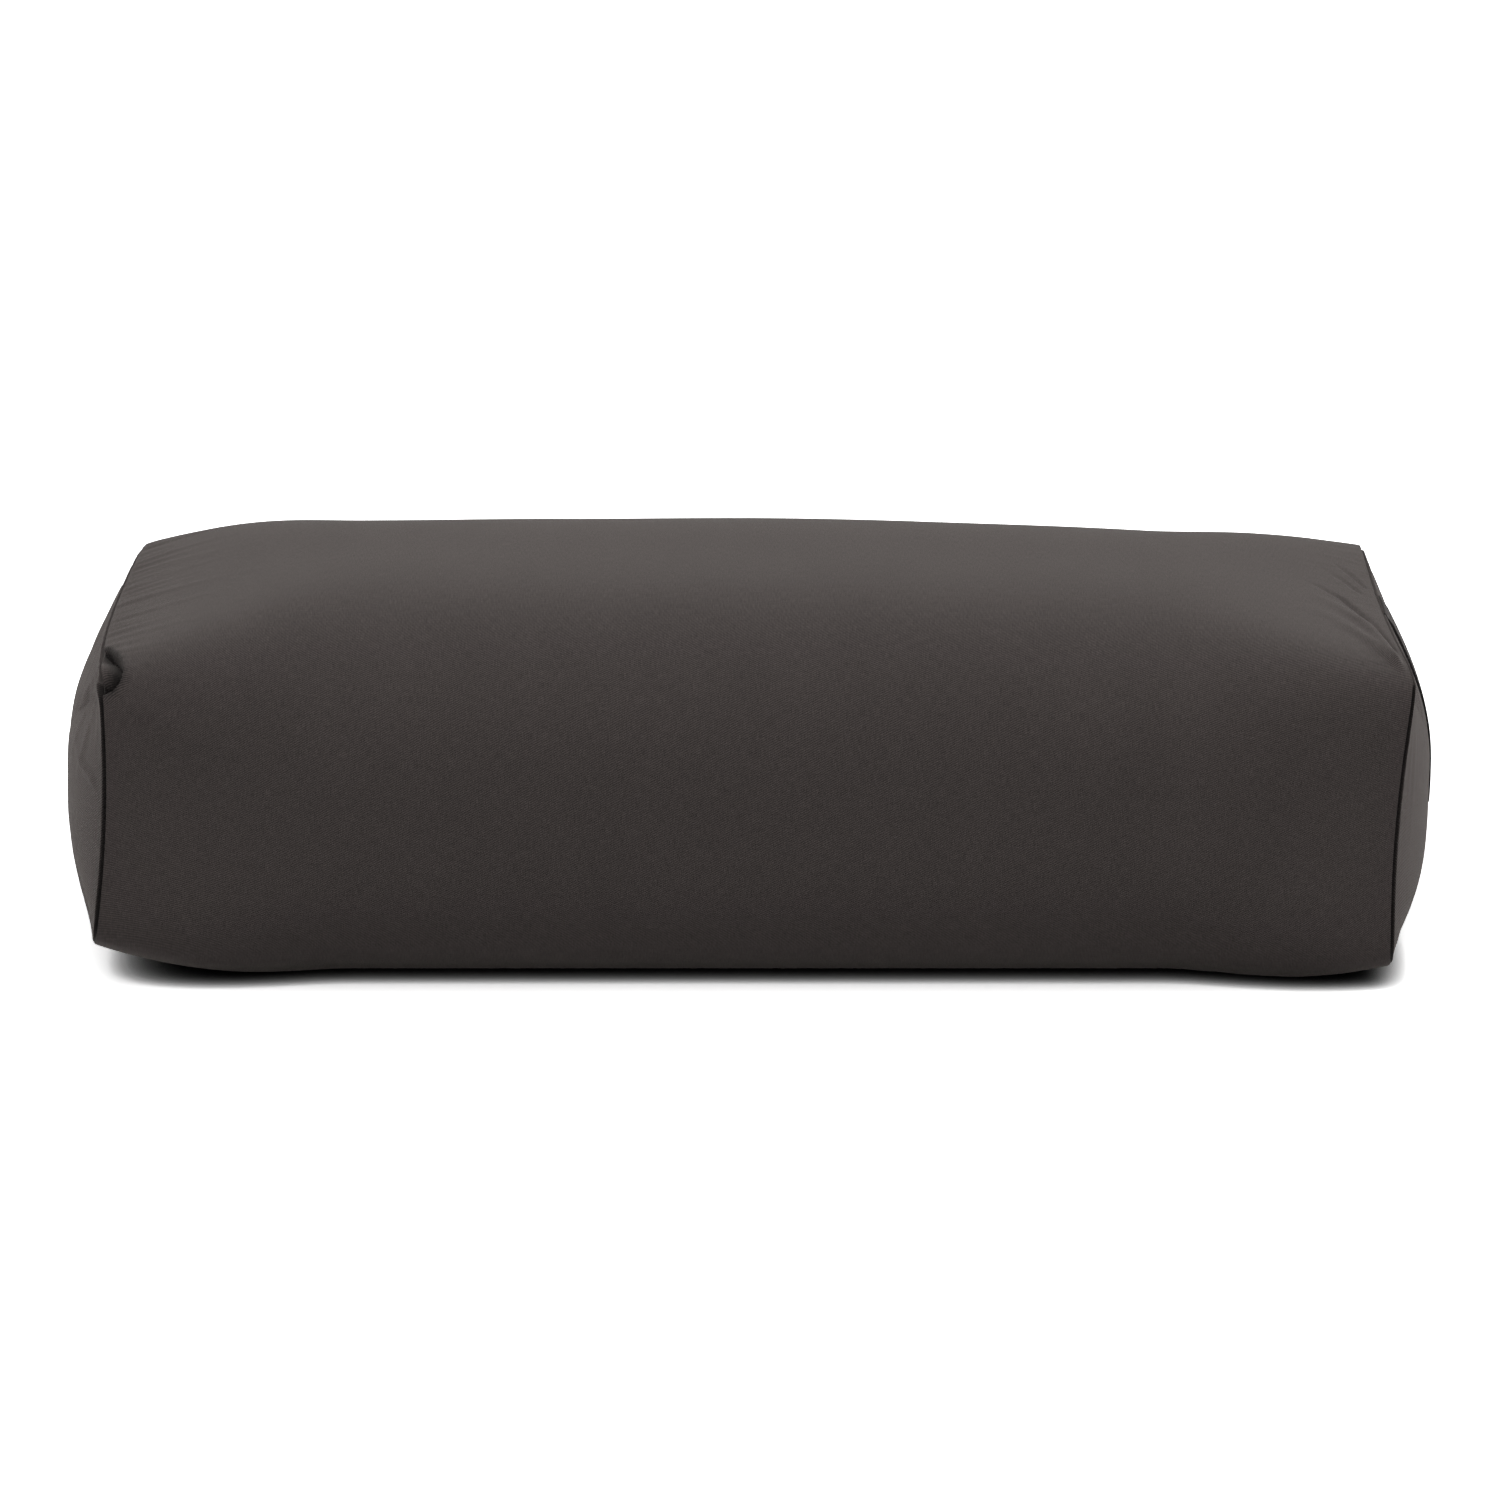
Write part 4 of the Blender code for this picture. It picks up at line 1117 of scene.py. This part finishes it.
# Liner: a sewn bag of unbleached calico, a tube and two ends, that holds the filling when the
# cover is off. It lies close under the cover and gives way where the slider runs.
LINER_DEPTH = 0.0036
LINER_SETBACK = 0.0128
LINER_THICKNESS = 0.0006
SLIDER_CLEARANCE = 0.0006
ZIP_ZONE_HALF_HEIGHT = 0.020
ZIP_ZONE_BEYOND = 0.004
coarse = spread(0.05, 0.02, 0.3)[:-1]
coarse_y, coarse_z = edge_walk(coarse, spread(0.09, 0.03, 0.4)[:-1], coarse)
coarse_places = np.array(spread(0.03, 0.008, 0.2))
coarse_across, coarse_up = spread(0.08, 0.03, 0.2), spread(0.12, 0.05, 0.3)


def layer_tube(depth, setback, back_limit):
    """A ring for every coarse place of a layer under the cover, clear of the slider."""
    rings = []
    for place in coarse_places:
        ring = stuffed_ring(place * (1 - setback / HALF_LENGTH), coarse_y, coarse_z, depth)
        beside = (np.abs(ring[:, 2] - zip_level) < ZIP_ZONE_HALF_HEIGHT) & (coarse_y == 1.0)
        if abs(ring[0, 0]) < tape_high.x + ZIP_ZONE_BEYOND:
            ring[beside, 1] = np.minimum(ring[beside, 1], back_limit)
        rings.append(ring)
    return np.array(rings)


CALICO_TURNS = 7400.0


def calico_surface():
    """Plain weave in undyed cotton with slubs and the odd brown fleck."""
    calico = Surface("calico")
    warp = calico.wave(calico.maths("MULTIPLY", calico.u, CALICO_TURNS))
    weft = calico.wave(calico.maths("MULTIPLY", calico.v, CALICO_TURNS))
    weave = calico.maths("MULTIPLY", warp, weft)
    slubs = calico.noise((1500.0, 60.0, 1.0), 3.0, 13.0)
    flecks = calico.maths("GREATER_THAN", calico.noise((260.0, 260.0, 1.0), 2.0, 29.0), 0.735)
    tone = calico.maths("MULTIPLY", calico.about_one(weave, 0.25), calico.about_one(slubs, 0.3))
    tone = calico.maths("MULTIPLY_ADD", tone, 0.8, -0.1)
    tone = calico.maths("SUBTRACT", tone, calico.maths("MULTIPLY", flecks, 0.6))
    calico.colour(tone, (0.42, 0.36, 0.27), (0.72, 0.67, 0.57))
    calico.relief(weave, 0.0002, 0.4)
    calico.finish(0.9, specular=0.2)
    return calico.material


calico = calico_surface()
liner_limit = slider_low.y - SLIDER_CLEARANCE
tube = layer_tube(LINER_DEPTH, LINER_SETBACK, liner_limit)
tube_steps = np.linalg.norm(np.diff(tube[len(tube) // 2], axis=0), axis=1)
tube_v = np.concatenate([[0.0], np.cumsum(tube_steps)])
tube_v = np.append(tube_v, tube_v[-1] + 0.01)
liner_wrap = grid_piece("liner_wrap", tube, lambda i, j: (tube[i, 0, 0], tube_v[j]), closed=True)
liner_pieces = [(liner_wrap, "liner_wrap_panel")]
for dome, word in ((LEFT_DOME, "left"), (RIGHT_DOME, "right")):
    grid, *_ = dome.grid(coarse_across, coarse_up, LINER_DEPTH, LINER_SETBACK)
    piece = grid_piece(
        "liner_end_" + word,
        grid,
        lambda i, j: (coarse_across[j] * SEAM_HALF_DEPTH, coarse_up[i] * HALF_LEVEL),
    )
    liner_pieces.append((piece, "liner_end_panel_" + word))
for piece, node in liner_pieces:
    thick = piece.modifiers.new("cloth", "SOLIDIFY")
    thick.thickness = LINER_THICKNESS
    thick.offset = 0.0
    piece.data.materials.append(calico)
    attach(piece, "bolster")
    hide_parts(node)

# Wadding: white polyester fibre wrapped round the foam, with a pad in each end, so that the
# corners feel round. Its surface is loose and fluffy.
WADDING_DEPTH = 0.0062
WADDING_SETBACK = 0.021
WADDING_UNDER_ZIP = 0.0022
WADDING_EASE = 0.0006
ROLL_FLUFF = 0.0006
PAD_DEEPER = 0.001
PAD_FLUFF = 0.0005
FLUFF_LENGTHS = (0.024, 0.10)
SAME_POINT = 1e-6
foam_low, foam_high = (Vector(corner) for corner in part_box("foam_core"))


def wadding_surface():
    """Loose white fibre: soft clouds with fine strands over them."""
    fibre = Surface("white_wadding", place="object")
    cloud = fibre.noise((60.0, 60.0, 60.0), 5.0, 3.0)
    strands = fibre.noise((1800.0, 300.0, 900.0), 4.0, 8.0)
    tone = fibre.maths("MULTIPLY", fibre.about_one(cloud, 0.2), fibre.about_one(strands, 0.3))
    fibre.colour(tone, (0.66, 0.65, 0.62), (0.86, 0.85, 0.83))
    fibre.relief(fibre.maths("ADD", cloud, strands), 0.0012, 0.7)
    fibre.finish(0.95, specular=0.2, sheen=0.3)
    return fibre.material


fibre = wadding_surface()
outer = layer_tube(WADDING_DEPTH, WADDING_SETBACK, liner_limit - WADDING_UNDER_ZIP)
outer += uneven(outer, ROLL_FLUFF, *FLUFF_LENGTHS, seed=5)
foam_middle = (foam_high.z + foam_low.z) / 2
foam_half = (foam_high.z - foam_low.z) / 2
hole_y = (foam_high.y + WADDING_EASE) * coarse_y
hole_z = foam_middle + (foam_half + WADDING_EASE) * coarse_z
left_hole = np.stack([np.full_like(hole_y, outer[0, :, 0].mean()), hole_y, hole_z], axis=-1)
right_hole = np.stack([np.full_like(hole_y, outer[-1, :, 0].mean()), hole_y, hole_z], axis=-1)
roll = np.array([left_hole, *outer, right_hole, left_hole])
wadding_wrap = grid_piece("wadding_roll", roll, lambda i, j: (0.0, 0.0), closed=True)
rework(
    wadding_wrap,
    lambda work: bmesh.ops.remove_doubles(work, verts=work.verts, dist=SAME_POINT),
)
wadding_pieces = [(wadding_wrap, "wadding_wrap")]
for dome, word, facing in ((LEFT_DOME, "left", outer[0]), (RIGHT_DOME, "right", outer[-1])):
    grid, *_ = dome.grid(coarse_across, coarse_up, WADDING_DEPTH + PAD_DEEPER, WADDING_SETBACK)
    grid += uneven(grid, PAD_FLUFF, *FLUFF_LENGTHS, seed=9)
    pad = grid_piece("wadding_pad_" + word, grid, lambda i, j: (0.0, 0.0))
    pad_back = math.copysign(np.abs(facing[:, 0]).max() + WADDING_EASE, facing[0, 0])
    extend_edges(pad, lambda edge: True, [lambda co: Vector((pad_back, co.y, co.z))])
    rework(pad, lambda work: bmesh.ops.holes_fill(work, edges=work.edges))
    wadding_pieces.append((pad, "wadding_end_" + word))
for piece, node in wadding_pieces:
    piece.data.materials.append(fibre)
    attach(piece, "bolster")
    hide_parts(node)

# Foam core: one block of firm grey polyurethane foam, cut square, that gives the bolster its
# box form. Its edges are worn soft, and its cut faces show open pores.
FOAM_EDGE = 0.004
FOAM_LONG_EDGE = 0.05
FOAM_CUTS = 12


def foam_surface():
    """Grey foam with fine open pores, some of them painted darker as the shade in their hollows."""
    foam = Surface("grey_foam", place="object")
    pores = foam.noise((900.0, 900.0, 900.0), 3.0, 15.0)
    # Painted shade: spots of the pattern are darker, for the shade in open pores.
    pore_shade = foam.maths("GREATER_THAN", pores, 0.62)
    tone = foam.about_one(pores, 0.6)
    tone = foam.maths("SUBTRACT", tone, foam.maths("MULTIPLY", pore_shade, 0.5))
    foam.colour(tone, (0.16, 0.165, 0.17), (0.36, 0.37, 0.38))
    foam.relief(pores, 0.0008, 0.8)
    foam.finish(0.95, specular=0.2)
    return foam.material


work = bmesh.new()
bmesh.ops.create_cube(work, size=1.0)
foam_centre, foam_size = (foam_low + foam_high) / 2, foam_high - foam_low
for vert in work.verts:
    vert.co = Vector([m + c * s for m, c, s in zip(foam_centre, vert.co, foam_size)])
bmesh.ops.bevel(work, geom=work.edges, offset=FOAM_EDGE, segments=4, profile=0.5, affect="EDGES")
long_edges = [edge for edge in work.edges if edge.calc_length() > FOAM_LONG_EDGE]
bmesh.ops.subdivide_edges(work, edges=long_edges, cuts=FOAM_CUTS, use_grid_fill=True)
foam_block = put_down(work, "foam_block")
foam_block.data.shade_smooth()
foam_block.data.materials.append(foam_surface())
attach(foam_block, "bolster")
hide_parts("foam_core")

# Photographer's table: a seamless white sweep in even light from all round, with a little more
# from above and from each end. The camera stands in front, a little above the bolster. The
# sweep is exposed to pure white in the picture, but lights the bolster only as grey paper.
CAMERA_DISTANCE = 4.1
CAMERA_LENS = 203.4
AIM = Vector((0.0, 0.0, 0.0785))
lens = bpy.data.cameras.new("camera")
lens.sensor_width = 36.0
lens.lens = CAMERA_LENS
camera = bpy.data.objects.new("camera", lens)
bpy.context.scene.collection.objects.link(camera)
away = Vector((0.0, -math.cos(SEEN_FROM), math.sin(SEEN_FROM)))
camera.location = AIM + away * CAMERA_DISTANCE
camera.rotation_euler = (math.pi / 2 - SEEN_FROM, 0.0, 0.0)
bpy.context.scene.camera = camera


def lamp(name, place, aim, width, height, power):
    data = bpy.data.lights.new(name, "AREA")
    data.shape = "RECTANGLE"
    data.size, data.size_y = width, height
    data.energy = power
    made = bpy.data.objects.new(name, data)
    made.location = place
    made.rotation_euler = (Vector(aim) - Vector(place)).to_track_quat("-Z", "Y").to_euler()
    bpy.context.scene.collection.objects.link(made)


OVERHEAD_AIM, STRIP_AIM = (0.0, 0.1, 0.1), (0.0, 0.0, 0.1)
lamp("overhead", (0.0, 1.5, 1.7), OVERHEAD_AIM, width=2.6, height=1.2, power=1.6)
lamp("left_strip", (-1.9, -0.1, 0.7), STRIP_AIM, width=0.8, height=1.4, power=0.9)
lamp("right_strip", (1.9, -0.1, 0.7), STRIP_AIM, width=0.8, height=1.4, power=2.2)


def seen_or_not(tree, seen, unseen):
    """A value that differs for what the camera or a reflection shows and for what lights."""
    path = tree.nodes.new("ShaderNodeLightPath")
    either = tree.nodes.new("ShaderNodeMath")
    either.operation = "MAXIMUM"
    tree.links.new(path.outputs["Is Camera Ray"], either.inputs[0])
    tree.links.new(path.outputs["Is Glossy Ray"], either.inputs[1])
    choice = tree.nodes.new("ShaderNodeMix")
    choice.data_type = "FLOAT"
    choice.inputs["A"].default_value = unseen
    choice.inputs["B"].default_value = seen
    tree.links.new(either.outputs[0], choice.inputs["Factor"])
    return choice.outputs["Result"]


SWEEP_SIZE = 14.0
SWEEP_SEEN, SWEEP_UNSEEN = 2.6, 0.26
CONTACT_REACH = 0.013
CONTACT_POWER = 2.0
bpy.ops.mesh.primitive_plane_add(size=SWEEP_SIZE)
floor = bpy.context.object
floor.name = "floor"
paper = bpy.data.materials.new("white_sweep")
paper.use_nodes = True
tree = paper.node_tree
tree.nodes.remove(tree.nodes["Principled BSDF"])
matt = tree.nodes.new("ShaderNodeBsdfDiffuse")
# Painted shadow: close to the bolster the paper's colour is darkened by ambient occlusion, on top of
# its real shadow.
nearness = tree.nodes.new("ShaderNodeAmbientOcclusion")
nearness.inputs["Distance"].default_value = CONTACT_REACH
painted_contact_shadow = tree.nodes.new("ShaderNodeMath")
painted_contact_shadow.operation = "POWER"
painted_contact_shadow.inputs[1].default_value = CONTACT_POWER
tree.links.new(nearness.outputs["AO"], painted_contact_shadow.inputs[0])
paper_with_painted_shadow = tree.nodes.new("ShaderNodeMath")
paper_with_painted_shadow.operation = "MULTIPLY"
tree.links.new(painted_contact_shadow.outputs[0], paper_with_painted_shadow.inputs[0])
tree.links.new(seen_or_not(tree, SWEEP_SEEN, SWEEP_UNSEEN), paper_with_painted_shadow.inputs[1])
tree.links.new(paper_with_painted_shadow.outputs[0], matt.inputs["Color"])
tree.links.new(matt.outputs["BSDF"], tree.nodes["Material Output"].inputs["Surface"])
floor.data.materials.append(paper)

ROOM_SEEN, ROOM_UNSEEN = 1.0, 0.81
world = bpy.data.worlds.new("studio")
bpy.context.scene.world = world
world.use_nodes = True
background = world.node_tree.nodes["Background"]
background.inputs["Color"].default_value = (1.0, 1.0, 1.0, 1.0)
room_light = seen_or_not(world.node_tree, ROOM_SEEN, ROOM_UNSEEN)
world.node_tree.links.new(room_light, background.inputs["Strength"])
bpy.context.scene.view_settings.view_transform = "Standard"
